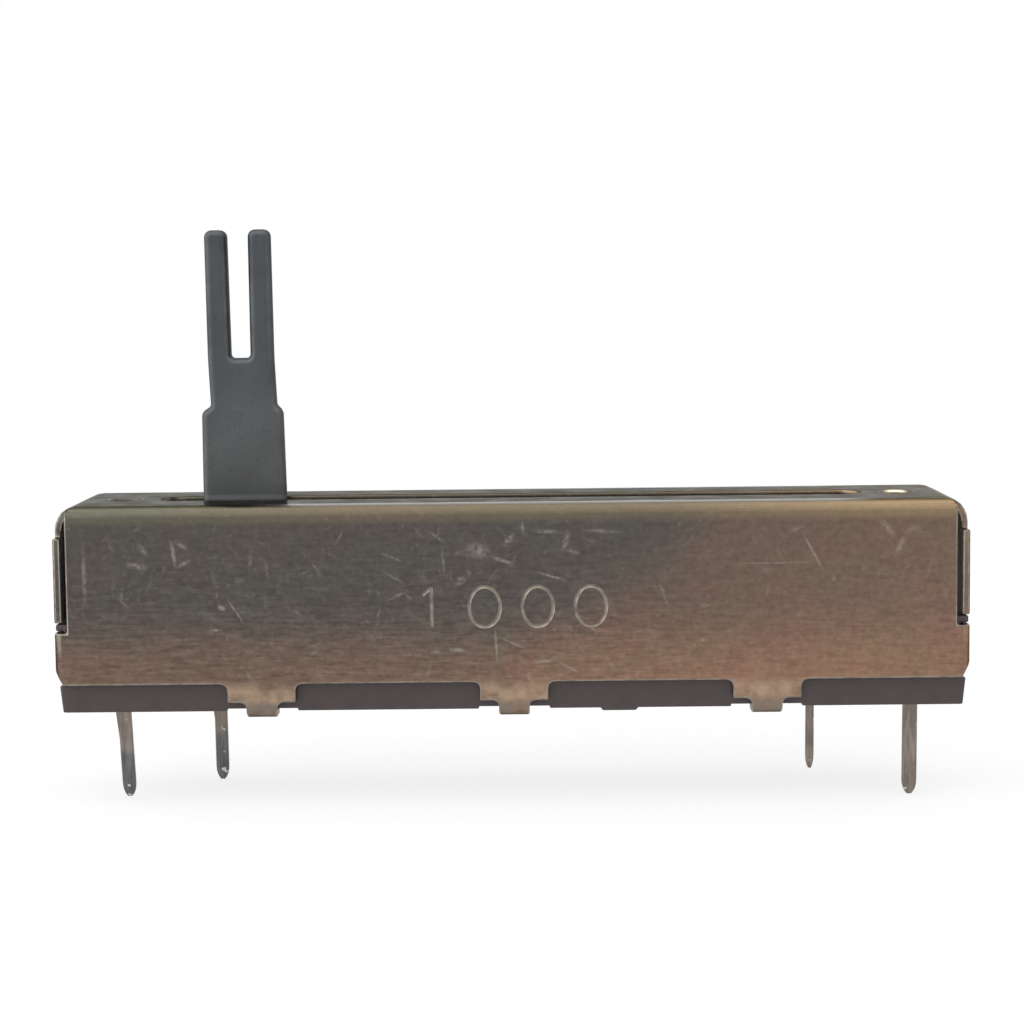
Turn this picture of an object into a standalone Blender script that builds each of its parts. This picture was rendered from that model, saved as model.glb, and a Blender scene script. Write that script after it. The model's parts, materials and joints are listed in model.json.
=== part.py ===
"""A slide potentiometer with a forked steel lever, 30 mm of travel in a 45 mm body.

Metres, +Z up. The travel runs along X, the stamped front looks along -Y, and the origin is the
centre of the base's underside. Run it with blender --background --python part.py, or from
Blender's text editor.
"""

import math

import bmesh
import bpy
from mathutils import Matrix, Vector

# The frame is one folded sheet. Its heights are measured from the base's underside.
TRAVEL = 0.030
BODY_BEYOND_TRAVEL = 0.015
BODY_WIDTH = 0.009
PLATE_TOP = 0.0102
SHEET = 0.00035
TOP_BEND = 0.00065
END_BEND = 0.0012
CORNER_BEND = 0.00045
TAB_BEND = 0.00045
WALL_BOTTOM = 0.00138
NOTCH_DEPTH = 0.00068
NOTCH_FLOOR = 0.0040
FLAP_BOTTOM = 0.00445
FLAP_EDGE_INSET = 0.0004
NECK_INSET = 0.0011
NECK_HEIGHT = 0.00155
WING_BOTTOM = 0.00205
WING_GAP = 0.0024
PUNCH_FILLET = 0.0003

# Three tabs a side hold the base. They sit a little to the right of the middle.
TAB_INSET = 0.01007
TAB_OFFSET = 0.0001
TAB_WIDTH = 0.00152
TAB_REACH = 0.0013
TAB_UNDER_BASE = 0.0003
SHOULDER_WIDTH = 0.0034
SHOULDER_BOTTOM = 0.00047

# Openings in the top plate
SLOT_WIDTH = 0.0023
SLOT_END_GAP = 0.0006
SCREW_INSET = 0.0030
SCREW_RADIUS = 0.0008

# Clearances
FIT = 0.00007
RUN_GAP = 0.0001
STOP_GAP = 0.0001
PRINT_GAP = 0.00002

# The base is a moulded tray.
BASE_FLOOR = 0.0014
BASE_WALL = 0.00058
BASE_CORNER = 0.00015
PLINTH_BEYOND = 0.00012
PLINTH_DRAFT = 0.00014
END_BLOCK = 0.00118
RAIL_ABOVE_BOARD = 0.0009
LUG_SETBACK = 0.00005
LUG_SIDE_INSET = 0.00005
RECESS_WIDTH = 0.0035
PIP_X = 0.00528
PIP_WIDTH = 0.0018
PIP_LENGTH = 0.0012
PIP_HEIGHT = 0.00014

# The element board, its printed tracks, and the terminals riveted to it
BOARD_THICKNESS = 0.0006
PRINT_THICKNESS = 0.00005
TRACK_Y = 0.0008
TRACK_WIDTH = 0.0012
TRACK_OVERRUN = 0.0012
PAD_OVERLAP = 0.0010
PIN_OFFSET = 0.00015
OUTER_PIN_INSET = 0.0029
INNER_PIN_INSET = 0.0071
PIN_ROW_INSET = 0.0019
PIN_WIDTH = 0.00066
PIN_THICKNESS = 0.00032
PIN_RIDGE = 0.00008
PIN_BELOW_BASE = 0.00455
PIN_TIP_ROUND = 0.0007
PIN_FLARE_HEIGHT = 0.0016
PIN_SLOT_GAP = 0.00025
FOOT_THICKNESS = 0.0003
FOOT_PAD_RADIUS = 0.00075
INNER_EYELET_SHIFT = 0.0025
INNER_EYELET_INSET = 0.0005
EYELET_RADIUS = 0.00045
EYELET_BORE = 0.00022
EYELET_FLANGE = 0.00068
EYELET_FLANGE_THICKNESS = 0.0002

# The slider: the carriage, the lever, the wiper and the feel spring
LEVER_WIDTH = 0.00418
LEVER_THICKNESS = 0.0012
LEVER_ABOVE_PLATE = 0.0135
LEVER_SHOULDER_WIDTH = 0.00407
LEVER_NECK_WIDTH = 0.0033
LEVER_NECK_SHIFT = 0.00008
LEVER_TIP_WIDTH = 0.0033
LEVER_SHOULDER = 0.0044
LEVER_SHOULDER_SLOPE = 0.0003
LEVER_LEAN = math.radians(0.55)
LEVER_EDGE_ROUND = 0.00018
LEVER_FOOT_DEPTH = 0.0041
LEVER_REST_FROM_STOP = 0.00161
FORK_DEPTH = 0.00641
FORK_GAP_TOP = 0.00108
FORK_GAP_BOTTOM = 0.001
FORK_TIP_ROUND = 0.00035
FORK_INNER_ROUND = 0.00015
SPRING_ROOM = 0.00065
SPRING_LENGTH = 0.0088
SPRING_WIDTH = 0.0040
SPRING_THICKNESS = 0.00012
SPRING_WINDOW_GAP = 0.00025
CARRIAGE_EDGE = 0.0003
CARRIAGE_RELIEF = 0.00035
CARRIAGE_PAD_LENGTH = 0.0018
WIPER_RECESS_DEPTH = 0.00075
WIPER_RECESS_WALL = 0.00115
WIPER_GAP = 0.0003
WIPER_THICKNESS = 0.00015
WIPER_PLATE_LENGTH = 0.0014
WIPER_ARM_LENGTH = 0.0029
WIPER_TOE_LENGTH = 0.00045
WIPER_SPLIT = 0.0001
POST_RADIUS = 0.0004
POST_INSET = 0.0007

# Worked out from the above
BODY_LENGTH = TRAVEL + BODY_BEYOND_TRAVEL
HALF_LENGTH = BODY_LENGTH / 2
HALF_WIDTH = BODY_WIDTH / 2
PLATE_UNDER = PLATE_TOP - SHEET
WALL_HALF_LENGTH = HALF_LENGTH - NOTCH_DEPTH
FLAP_HALF_WIDTH = HALF_WIDTH - FLAP_EDGE_INSET
NECK_HALF_WIDTH = HALF_WIDTH - NECK_INSET
NECK_BOTTOM = PLATE_TOP - NECK_HEIGHT
SLOT_HALF_LENGTH = TRAVEL / 2 + LEVER_WIDTH / 2 + SLOT_END_GAP
SCREW_X = HALF_LENGTH - SCREW_INSET
TAB_PITCH = HALF_LENGTH - TAB_INSET
TAB_CENTRES = [TAB_OFFSET + place * TAB_PITCH for place in (-1, 0, 1)]
BASE_HALF_LENGTH = HALF_LENGTH - SHEET - FIT
BASE_HALF_WIDTH = HALF_WIDTH - SHEET - FIT
CHANNEL_HALF_WIDTH = BASE_HALF_WIDTH - BASE_WALL
STOP_X = BASE_HALF_LENGTH - END_BLOCK
RECESS_DEPTH = SHEET - TAB_UNDER_BASE + FIT
BOARD_BOTTOM = BASE_FLOOR + FIT
BOARD_TOP = BOARD_BOTTOM + BOARD_THICKNESS
PRINT_BOTTOM = BOARD_TOP + PRINT_GAP
PRINT_TOP = PRINT_BOTTOM + PRINT_THICKNESS
FOOT_BOTTOM = PRINT_TOP + PRINT_GAP
FOOT_TOP = FOOT_BOTTOM + FOOT_THICKNESS
RAIL_TOP = BOARD_TOP + RAIL_ABOVE_BOARD
PIN_ROW = HALF_WIDTH - PIN_ROW_INSET
PIN_TIP = -PIN_BELOW_BASE
CARRIAGE_BOTTOM = RAIL_TOP + RUN_GAP
CARRIAGE_TOP = PLATE_UNDER - SPRING_ROOM
CARRIAGE_HALF_LENGTH = STOP_X - TRAVEL / 2 - STOP_GAP
CARRIAGE_HALF_WIDTH = HALF_WIDTH - SHEET - RUN_GAP
RECESS_CEILING = CARRIAGE_BOTTOM + WIPER_RECESS_DEPTH
WIPER_HEEL_X = -WIPER_ARM_LENGTH - WIPER_PLATE_LENGTH
WIPER_RECESS_HALF_LENGTH = WIPER_GAP - WIPER_HEEL_X
WIPER_RECESS_HALF_WIDTH = CARRIAGE_HALF_WIDTH - WIPER_RECESS_WALL
WIPER_PLATE_HALF_WIDTH = WIPER_RECESS_HALF_WIDTH - WIPER_GAP
POST_X = WIPER_HEEL_X + WIPER_PLATE_LENGTH / 2
POST_Y = WIPER_PLATE_HALF_WIDTH - POST_INSET
LEVER_TIP = PLATE_TOP + LEVER_ABOVE_PLATE
LEVER_FOOT = CARRIAGE_TOP - LEVER_FOOT_DEPTH
SLIDER_X = LEVER_REST_FROM_STOP - TRAVEL / 2
BEYOND = 0.001  # how far a cutter runs past what it cuts
ARC_STEPS = 5

# Where each terminal stands and which way its foot runs
TERMINALS = {
    "terminal_left_outer": (-1, "outer"),
    "terminal_left_inner": (-1, "inner"),
    "terminal_right_inner": (1, "inner"),
    "terminal_right_outer": (1, "outer"),
}

# How far along X each pin stands from its common place
PIN_SHIFTS = {
    (-1, "outer"): -0.00005,
    (-1, "inner"): -0.00005,
    (1, "inner"): -0.0001,
    (1, "outer"): 0.00008,
}

# Each pin's width, how far it reaches past the common length, how far it is bent sideways, and
# how much wider its left edge is where it leaves the base
PIN_SHAPES = {
    "terminal_left_outer": (PIN_WIDTH, -0.00005, math.radians(2.4), 0.00012),
    "terminal_left_inner": (PIN_WIDTH, 0.0002, math.radians(0.6), 0.00016),
    "terminal_right_inner": (PIN_WIDTH * 0.65, -0.00008, math.radians(-0.3), 0),
    "terminal_right_outer": (PIN_WIDTH * 1.1, 0.00019, math.radians(-0.45), 0),
}


def clear_scene():
    for old in list(bpy.data.objects):
        bpy.data.objects.remove(old, do_unlink=True)


def new_collection(name):
    collection = bpy.data.collections.new(name)
    bpy.context.scene.collection.children.link(collection)
    return collection


def finish(name, colour, metallic, roughness):
    """A Principled material. The colour is linear."""
    material = bpy.data.materials.new(name)
    material.use_nodes = True
    shader = material.node_tree.nodes["Principled BSDF"]
    shader.inputs["Base Color"].default_value = (*colour, 1)
    shader.inputs["Metallic"].default_value = metallic
    shader.inputs["Roughness"].default_value = roughness
    return material


def add_object(name, mesh, parent=None, group=None):
    thing = bpy.data.objects.new(name, mesh)
    (group or parts).objects.link(thing)
    thing.parent = parent
    return thing


def move_to(thing, group):
    """Puts a helper in a collection of its own kind, unseen in a render."""
    for collection in thing.users_collection:
        collection.objects.unlink(thing)
    group.objects.link(thing)
    thing.hide_render = True
    thing.display_type = "WIRE"


def boxes(name, corner_pairs, parent=None):
    """One mesh of boxes, each between a low and a high corner."""
    shape = bmesh.new()
    for low, high in corner_pairs:
        low, high = Vector(low), Vector(high)
        place = Matrix.Translation((low + high) / 2) @ Matrix.Diagonal((*(high - low), 1))
        bmesh.ops.create_cube(shape, size=1, matrix=place)
    mesh = bpy.data.meshes.new(name)
    shape.to_mesh(mesh)
    shape.free()
    return add_object(name, mesh, parent)


def cylinders(name, centres, radius, low, high, parent=None, segments=24):
    """One mesh of upright cylinders between two heights."""
    shape = bmesh.new()
    for x, y in centres:
        bmesh.ops.create_cone(
            shape,
            cap_ends=True,
            segments=segments,
            radius1=radius,
            radius2=radius,
            depth=high - low,
            matrix=Matrix.Translation((x, y, (low + high) / 2)),
        )
    mesh = bpy.data.meshes.new(name)
    shape.to_mesh(mesh)
    shape.free()
    return add_object(name, mesh, parent)


def rounded_outline(corners):
    """The points of a flat polygon. Each corner is (x, y, radius), and its arc is worked out."""
    points = []
    for index, (x, y, radius) in enumerate(corners):
        corner = Vector((x, y))
        if radius == 0:
            points.append(corner)
            continue
        before = (Vector(corners[index - 1][:2]) - corner).normalized()
        after = (Vector(corners[(index + 1) % len(corners)][:2]) - corner).normalized()
        half = before.angle(after) / 2
        reach = radius / math.tan(half)
        centre = corner + (before + after).normalized() * radius / math.sin(half)
        start = corner + before * reach - centre
        end = corner + after * reach - centre
        turns = [start.slerp(end, step / ARC_STEPS) for step in range(ARC_STEPS + 1)]
        points += [centre + turn.normalized() * radius for turn in turns]
    return points


def circle_outline(x, y, radius, segments=20):
    turns = (2 * math.pi * step / segments for step in range(segments))
    return [Vector((x + radius * math.cos(turn), y + radius * math.sin(turn))) for turn in turns]


def flat_solid(name, outlines, thickness, parent=None):
    """A flat outline, with any holes, given a thickness about its own plane.

    It is drawn a thousand times too large and then reduced, because a curve's fill loses
    points that lie closer than a few hundredths of a millimetre.
    """
    enlarged = 1000
    curve = bpy.data.curves.new(name, "CURVE")
    curve.dimensions = "2D"
    curve.fill_mode = "BOTH"
    curve.extrude = thickness / 2 * enlarged
    for outline in outlines:
        spline = curve.splines.new("POLY")
        spline.points.add(len(outline) - 1)
        for point, place in zip(spline.points, outline):
            point.co = (place.x * enlarged, place.y * enlarged, 0, 1)
        spline.use_cyclic_u = True
    drawn = add_object(name + "_curve", curve)
    graph = bpy.context.evaluated_depsgraph_get()
    mesh = bpy.data.meshes.new_from_object(drawn.evaluated_get(graph))
    mesh.name = name
    bpy.data.objects.remove(drawn)
    bpy.data.curves.remove(curve)
    shape = bmesh.new()
    shape.from_mesh(mesh)
    bmesh.ops.remove_doubles(shape, verts=shape.verts, dist=0.001)
    bmesh.ops.recalc_face_normals(shape, faces=shape.faces)
    bmesh.ops.scale(shape, vec=(1 / enlarged,) * 3, verts=shape.verts)
    shape.to_mesh(mesh)
    shape.free()
    return add_object(name, mesh, parent)


def bent_strip(name, path, width, thickness, parent=None):
    """A sheet strip that follows a path of (x, z) points and is flat across Y."""
    shape = bmesh.new()
    row = [shape.verts.new((x, -width / 2, z)) for x, z in path]
    edges = [shape.edges.new(pair) for pair in zip(row, row[1:])]
    far = bmesh.ops.extrude_edge_only(shape, edges=edges)["geom"]
    moved = [item for item in far if isinstance(item, bmesh.types.BMVert)]
    bmesh.ops.translate(shape, vec=(0, width, 0), verts=moved)
    bmesh.ops.recalc_face_normals(shape, faces=shape.faces)
    mesh = bpy.data.meshes.new(name)
    shape.to_mesh(mesh)
    shape.free()
    strip = add_object(name, mesh, parent)
    wall = strip.modifiers.new("Sheet", "SOLIDIFY")
    wall.thickness = thickness
    wall.offset = 0
    wall.use_even_offset = True
    return strip


def boolean(thing, operation, others):
    """One exact Boolean with a collection of helpers, so that no cut has to follow another."""
    label = {"DIFFERENCE": "cut", "UNION": "added"}[operation]
    group = bpy.data.collections.new(f"{thing.name}_{label}")
    cutters.children.link(group)
    for other in others:
        move_to(other, group)
    step = thing.modifiers.new(label.capitalize(), "BOOLEAN")
    step.operation = operation
    step.solver = "EXACT"
    step.operand_type = "COLLECTION"
    step.collection = group


def cut(thing, *others):
    boolean(thing, "DIFFERENCE", others)


def add(thing, *others):
    boolean(thing, "UNION", others)


def round_edges(thing, radius_at, segments=3):
    """Rounds chosen edges, each by its own radius, with one Bevel.

    radius_at takes an edge's middle and its direction, and gives a radius or 0.
    """
    mesh = thing.data
    radii = []
    for edge in mesh.edges:
        start, end = (mesh.vertices[index].co for index in edge.vertices)
        radii.append(radius_at((start + end) / 2, (end - start).normalized()))
    weights = mesh.attributes.new("bevel_weight_edge", "FLOAT", "EDGE")
    weights.data.foreach_set("value", [radius / max(radii) for radius in radii])
    bevel = thing.modifiers.new("Rounded edges", "BEVEL")
    bevel.limit_method = "WEIGHT"
    bevel.width = max(radii)
    bevel.segments = segments
    thing.modifiers.new("Flat faces", "TRIANGULATE")


def mirror(thing, x=False, y=False):
    flip = thing.modifiers.new("Mirror", "MIRROR")
    flip.use_axis = (x, y, False)
    flip.use_mirror_merge = False


def frame_shell(name, inset):
    """The closed rounded box that the folded sheet follows, drawn in by inset."""
    length, width = HALF_LENGTH - inset, HALF_WIDTH - inset
    bottom, top = inset - TAB_UNDER_BASE, PLATE_TOP - inset
    shell = boxes(name, [((-length, -width, bottom), (length, width, top))])

    def radius_at(middle, direction):
        high = middle.z > (bottom + top) / 2
        if abs(direction.x) > 0.5:
            return (TOP_BEND if high else TAB_BEND) - inset
        if abs(direction.z) > 0.5:
            return CORNER_BEND - inset
        return END_BEND - inset if high else 0

    round_edges(shell, radius_at, segments=6)
    return shell


def tab_cutters():
    """The metal punched away between and beside the tabs, with filleted corners."""
    low, past = -TAB_UNDER_BASE - BEYOND, HALF_WIDTH + BEYOND
    starts = [-HALF_LENGTH - BEYOND] + [centre + SHOULDER_WIDTH / 2 for centre in TAB_CENTRES]
    ends = [centre - SHOULDER_WIDTH / 2 for centre in TAB_CENTRES] + [HALF_LENGTH + BEYOND]
    between = boxes(
        "between_shoulders",
        [((start, -past, low), (end, past, WALL_BOTTOM)) for start, end in zip(starts, ends)],
    )
    overlap = 2 * PUNCH_FILLET
    sides = []
    for centre in TAB_CENTRES:
        for side in (-1, 1):
            edges = (centre + side * TAB_WIDTH / 2, centre + side * (SHOULDER_WIDTH / 2 + overlap))
            sides.append(((min(edges), -past, low), (max(edges), past, SHOULDER_BOTTOM)))
    beside = boxes("beside_tabs", sides)
    for cutter, height in ((between, WALL_BOTTOM), (beside, SHOULDER_BOTTOM)):
        round_edges(
            cutter,
            lambda middle, direction: PUNCH_FILLET
            if abs(direction.y) > 0.5 and abs(middle.z - height) < FIT
            else 0,
        )
    reach = HALF_WIDTH - TAB_REACH
    under = boxes("between_tab_rows", [((-BODY_LENGTH, -reach, low), (BODY_LENGTH, reach, SHEET))])
    return between, beside, under


def end_cutters():
    """The metal punched away at the ends: corner notches, flap outline and wings."""
    past_x, past_y, past_z = HALF_LENGTH + BEYOND, HALF_WIDTH + BEYOND, PLATE_TOP + BEYOND
    inside_x = WALL_HALF_LENGTH + FIT
    under = -TAB_UNDER_BASE - BEYOND
    notches = boxes(
        "corner_notches",
        [((WALL_HALF_LENGTH, FLAP_HALF_WIDTH, NOTCH_FLOOR), (past_x, past_y, past_z))],
    )
    neck = boxes(
        "neck_sides",
        [((WALL_HALF_LENGTH, NECK_HALF_WIDTH, NECK_BOTTOM), (past_x, past_y, past_z))],
    )
    gap_width = FLAP_HALF_WIDTH + FIT
    flap_gap = boxes(
        "flap_gaps",
        [((inside_x, -gap_width, NOTCH_FLOOR), (past_x, gap_width, FLAP_BOTTOM))],
    )
    wing_gap = boxes(
        "wing_gaps",
        [((inside_x, -WING_GAP / 2, under), (past_x, WING_GAP / 2, NOTCH_FLOOR + FIT))],
    )
    flat_end = HALF_WIDTH - CORNER_BEND
    wing_trim = boxes(
        "wing_trims",
        [((HALF_LENGTH - SHEET - FIT, -flat_end, under), (past_x, flat_end, WING_BOTTOM))],
    )
    mirror(notches, x=True, y=True)
    mirror(neck, x=True, y=True)
    for cutter in (flap_gap, wing_gap, wing_trim):
        mirror(cutter, x=True)
    return notches, neck, flap_gap, wing_gap, wing_trim


def corner_trim():
    """The slanted cut that takes each wing's lower corner back to the wall's bottom edge."""
    inner = Vector((HALF_LENGTH - SHEET - FIT, WALL_BOTTOM))
    outer = Vector((HALF_LENGTH, WING_BOTTOM))
    slope = outer - inner
    outline = [inner - slope, outer + slope, Vector((outer.x + slope.x, inner.y - slope.y))]
    trim = flat_solid("corner_trims", [outline], BODY_WIDTH + 2 * BEYOND)
    trim.data.transform(Matrix.Rotation(math.pi / 2, 4, "X"))
    mirror(trim, x=True)
    return trim


def top_openings():
    """The lever slot and the two tapped holes' bores."""
    end = SLOT_HALF_LENGTH
    half = SLOT_WIDTH / 2
    radius = half * 0.98
    corners = [(-end, -half, radius), (end, -half, radius), (end, half, radius), (-end, half, radius)]
    slot = flat_solid("lever_slot", [rounded_outline(corners)], SHEET + 2 * BEYOND)
    slot.location.z = PLATE_TOP - SHEET / 2
    low, high = PLATE_UNDER - BEYOND, PLATE_TOP + BEYOND
    screws = cylinders("screw_holes", [(-SCREW_X, 0), (SCREW_X, 0)], SCREW_RADIUS, low, high)
    return slot, screws


def make_frame():
    frame = frame_shell("frame", 0)
    inside = frame_shell("frame_inside", SHEET)
    cut(frame, inside, *tab_cutters(), *end_cutters(), corner_trim(), *top_openings())
    frame.data.materials.append(finish("rolled steel", (0.12, 0.1, 0.08), 0.85, 0.45))
    frame.parent = housing


def pin_x(side, row):
    inset = OUTER_PIN_INSET if row == "outer" else INNER_PIN_INSET
    return side * (HALF_LENGTH - inset) + PIN_OFFSET + PIN_SHIFTS[side, row]


def pin_y(row):
    return -PIN_ROW if row == "outer" else PIN_ROW


def eyelet_place(side, row):
    if row == "outer":
        return pin_x(side, row), -TRACK_Y
    return pin_x(side, row) + side * INNER_EYELET_SHIFT, PIN_ROW - INNER_EYELET_INSET


def pin_slots():
    """Openings for the pins, cut through the base's floor and the board."""
    half_x = PIN_WIDTH / 2 + PIN_SLOT_GAP
    half_y = PIN_THICKNESS / 2 + PIN_RIDGE + PIN_SLOT_GAP / 2
    pairs = []
    for side, row in TERMINALS.values():
        x, y = pin_x(side, row), pin_y(row)
        low = (x - half_x, y - half_y, -BEYOND)
        high = (x + half_x, y + half_y, BOARD_TOP + BEYOND)
        pairs.append((low, high))
    return boxes("pin_slots", pairs)


def eyelet_centres():
    return [eyelet_place(side, row) for side, row in TERMINALS.values()]


def make_base():
    length, width, top = BASE_HALF_LENGTH, BASE_HALF_WIDTH, FLAP_BOTTOM - FIT
    base = boxes("base", [((-length, -width, 0), (length, width, top))], housing)
    round_edges(base, lambda middle, direction: BASE_CORNER if abs(direction.z) > 0.5 else 0)
    past = top + BEYOND
    channel = boxes(
        "tray_channel",
        [((-STOP_X, -CHANNEL_HALF_WIDTH, BASE_FLOOR), (STOP_X, CHANNEL_HALF_WIDTH, past))],
    )
    rails = boxes("rail_tops", [((-STOP_X, -BODY_WIDTH, RAIL_TOP), (STOP_X, BODY_WIDTH, past))])
    lug_x, lug_y = HALF_LENGTH - LUG_SETBACK, BASE_HALF_WIDTH - LUG_SIDE_INSET
    lugs = boxes(
        "end_lugs",
        [((length - BASE_CORNER, -lug_y, NOTCH_FLOOR + FIT), (lug_x, lug_y, top))],
    )
    mirror(lugs, x=True)
    recess_y = HALF_WIDTH - TAB_REACH - FIT
    recesses = []
    for centre in TAB_CENTRES:
        for side in (-1, 1):
            edges = sorted((side * recess_y, side * BODY_WIDTH))
            low = (centre - RECESS_WIDTH / 2, edges[0], -BEYOND)
            high = (centre + RECESS_WIDTH / 2, edges[1], RECESS_DEPTH)
            recesses.append((low, high))
    pockets = cylinders(
        "eyelet_pockets",
        eyelet_centres(),
        EYELET_FLANGE + RUN_GAP,
        BASE_FLOOR - EYELET_FLANGE_THICKNESS - RUN_GAP,
        BASE_FLOOR + BEYOND,
    )
    pip = boxes(
        "moulding_pip",
        [
            (
                (PIP_X - PIP_WIDTH / 2, -width, -PIP_HEIGHT),
                (PIP_X + PIP_WIDTH / 2, PIP_LENGTH - width, PIP_HEIGHT),
            )
        ],
    )
    round_edges(
        pip,
        lambda middle, direction: PIP_HEIGHT * 0.9
        if middle.z < 0 and abs(direction.y) > 0.5
        else 0,
        segments=2,
    )
    plinth_x, plinth_top = length + PLINTH_BEYOND, WALL_BOTTOM - FIT
    plinth = boxes("plinth", [((-plinth_x, -width, 0), (plinth_x, width, plinth_top))])
    for vertex in plinth.data.vertices:
        if vertex.co.z > 0:
            vertex.co.x += math.copysign(PLINTH_DRAFT, vertex.co.x)
    round_edges(plinth, lambda middle, direction: BASE_CORNER if abs(direction.z) > 0.5 else 0)
    add(base, plinth, lugs, pip)
    cut(base, channel, rails, boxes("tab_recesses", recesses), pin_slots(), pockets)
    base.data.materials.append(finish("moulded phenolic", (0.075, 0.055, 0.06), 0, 0.55))


def make_board():
    length, width = STOP_X - FIT, CHANNEL_HALF_WIDTH - FIT
    board = boxes(
        "element_board", [((-length, -width, BOARD_BOTTOM), (length, width, BOARD_TOP))], housing
    )
    holes = cylinders(
        "eyelet_holes",
        eyelet_centres(),
        EYELET_RADIUS + PRINT_GAP,
        BOARD_BOTTOM - BEYOND,
        BOARD_TOP + BEYOND,
    )
    cut(board, pin_slots(), holes)
    board.data.materials.append(finish("paper laminate", (0.33, 0.17, 0.07), 0, 0.6))


def print_layer(name, outlines, colour, metallic, roughness):
    layer = flat_solid(name, outlines, PRINT_THICKNESS, housing)
    layer.location.z = PRINT_BOTTOM + PRINT_THICKNESS / 2
    layer.data.materials.append(finish(name, colour, metallic, roughness))


def make_tracks():
    """The carbon track in front, its two silver end pads, and the silver collector behind."""
    hole = EYELET_RADIUS + PRINT_GAP
    silver = (0.55, 0.54, 0.5)
    half = TRACK_WIDTH / 2
    end = TRAVEL / 2 + TRACK_OVERRUN
    track = [(-end, -TRACK_Y - half, 0), (end, -TRACK_Y - half, 0)]
    track += [(end, -TRACK_Y + half, 0), (-end, -TRACK_Y + half, 0)]
    print_layer("resistive_track", [rounded_outline(track)], (0.02, 0.02, 0.021), 0, 0.5)
    for side, label in ((-1, "left"), (1, "right")):
        x, y = eyelet_place(side, "outer")
        near, far = side * (end + PRINT_GAP), x + side * FOOT_PAD_RADIUS
        pad = [(near, y - half, 0), (far, y - half, half), (far, y + half, half), (near, y + half, 0)]
        outlines = [rounded_outline(pad), circle_outline(x, y, hole)]
        print_layer(f"end_pad_{label}", outlines, silver, 0.7, 0.35)
    (left, top), (right, _) = (eyelet_place(side, "inner") for side in (-1, 1))
    reach = FOOT_PAD_RADIUS
    low, high = TRACK_Y - half, top + reach
    step = PAD_OVERLAP / 4
    collector = [(left - reach, low, step), (right + reach, low, step), (right + reach, high, reach / 2)]
    collector += [(right - reach, high, reach / 2), (right - reach, TRACK_Y + half, 0)]
    collector += [(left + reach, TRACK_Y + half, 0), (left + reach, high, reach / 2)]
    collector += [(left - reach, high, reach / 2)]
    outlines = [rounded_outline(collector)]
    outlines += [circle_outline(x, top, hole) for x in (left, right)]
    print_layer("collector_track", outlines, silver, 0.7, 0.35)


def tapered_pin(terminal, x, y):
    """An upright flat pin with a ridged front and a rounded tip, bent a little sideways."""
    width, extra, lean, flare = PIN_SHAPES[terminal]
    half_x, half_y = width / 2, PIN_THICKNESS / 2
    tip = PIN_TIP - extra
    top = FOOT_BOTTOM + FOOT_THICKNESS / 2
    pin = boxes(terminal + "_pin", [((-half_x, -half_y, tip), (half_x, half_y, top))])
    shape = bmesh.new()
    shape.from_mesh(pin.data)
    ridge_x = width / 8
    heights = [tip + PIN_TIP_ROUND * share for share in (0.05, 0.18, 0.4, 0.7, 1.0)]
    heights += [-PIN_FLARE_HEIGHT, 0]
    cuts = [((ridge_x, 0, 0), (1, 0, 0))] + [((0, 0, height), (0, 0, 1)) for height in heights]
    for place, normal in cuts:
        everything = list(shape.verts) + list(shape.edges) + list(shape.faces)
        bmesh.ops.bisect_plane(shape, geom=everything, plane_co=place, plane_no=normal, dist=1e-7)
    for vertex in shape.verts:
        if abs(vertex.co.x - ridge_x) < 1e-6 and vertex.co.y < 0:
            vertex.co.y -= PIN_RIDGE
    for vertex in shape.verts:
        from_tip = (vertex.co.z - tip) / PIN_TIP_ROUND
        if from_tip < 1:
            share = math.sqrt(1 - (1 - from_tip) ** 2 * 0.93)
            vertex.co.x *= share
            vertex.co.y *= 0.6 + 0.4 * share
        if vertex.co.x < 0 and vertex.co.z > -PIN_FLARE_HEIGHT:
            vertex.co.x -= flare * min(1, (vertex.co.z + PIN_FLARE_HEIGHT) / PIN_FLARE_HEIGHT)
        vertex.co.x += (BOARD_TOP - vertex.co.z) * math.tan(lean)
    shape.to_mesh(pin.data)
    shape.free()
    pin.location = (x, y, 0)
    return pin


def foot_outline(side, row):
    """The foot's outline seen from above, with a round pad under its eyelet."""
    x, y = pin_x(side, row), pin_y(row)
    eye_x, eye_y = eyelet_place(side, row)
    half, pad = PIN_WIDTH / 2 + FIT, FOOT_PAD_RADIUS
    if row == "outer":
        heel = y - PIN_THICKNESS / 2 - PIN_RIDGE - FIT
        corners = [(x - half, heel, 0), (x + half, heel, 0), (x + half, eye_y - pad, 0)]
        corners += [(x + pad, eye_y - pad, pad / 2), (x + pad, eye_y + pad, pad * 0.9)]
        corners += [(x - pad, eye_y + pad, pad * 0.9), (x - pad, eye_y - pad, pad / 2)]
        return corners + [(x - half, eye_y - pad, 0)]
    heel = y + PIN_THICKNESS / 2 + FIT
    near, far = x - side * half, eye_x + side * pad
    neck = eye_x - side * pad
    corners = [(near, heel, half / 2), (near, heel - 2 * half, half / 2), (neck, heel - 2 * half, 0)]
    corners += [(neck, eye_y - pad, pad / 2), (far, eye_y - pad, pad * 0.9)]
    return corners + [(far, eye_y + pad, pad * 0.9), (neck, eye_y + pad, pad / 2), (neck, heel, 0)]


def make_terminals():
    metal = finish("tinned brass", (0.3, 0.27, 0.24), 0.9, 0.35)
    for name, (side, row) in TERMINALS.items():
        eye_x, eye_y = eyelet_place(side, row)
        hole = circle_outline(eye_x, eye_y, EYELET_RADIUS + PRINT_GAP)
        outline = rounded_outline(foot_outline(side, row))
        terminal = flat_solid(name, [outline, hole], FOOT_THICKNESS, housing)
        terminal.location.z = (FOOT_BOTTOM + FOOT_TOP) / 2
        add(terminal, tapered_pin(name, pin_x(side, row), pin_y(row)))
        terminal.data.materials.append(metal)


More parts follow.
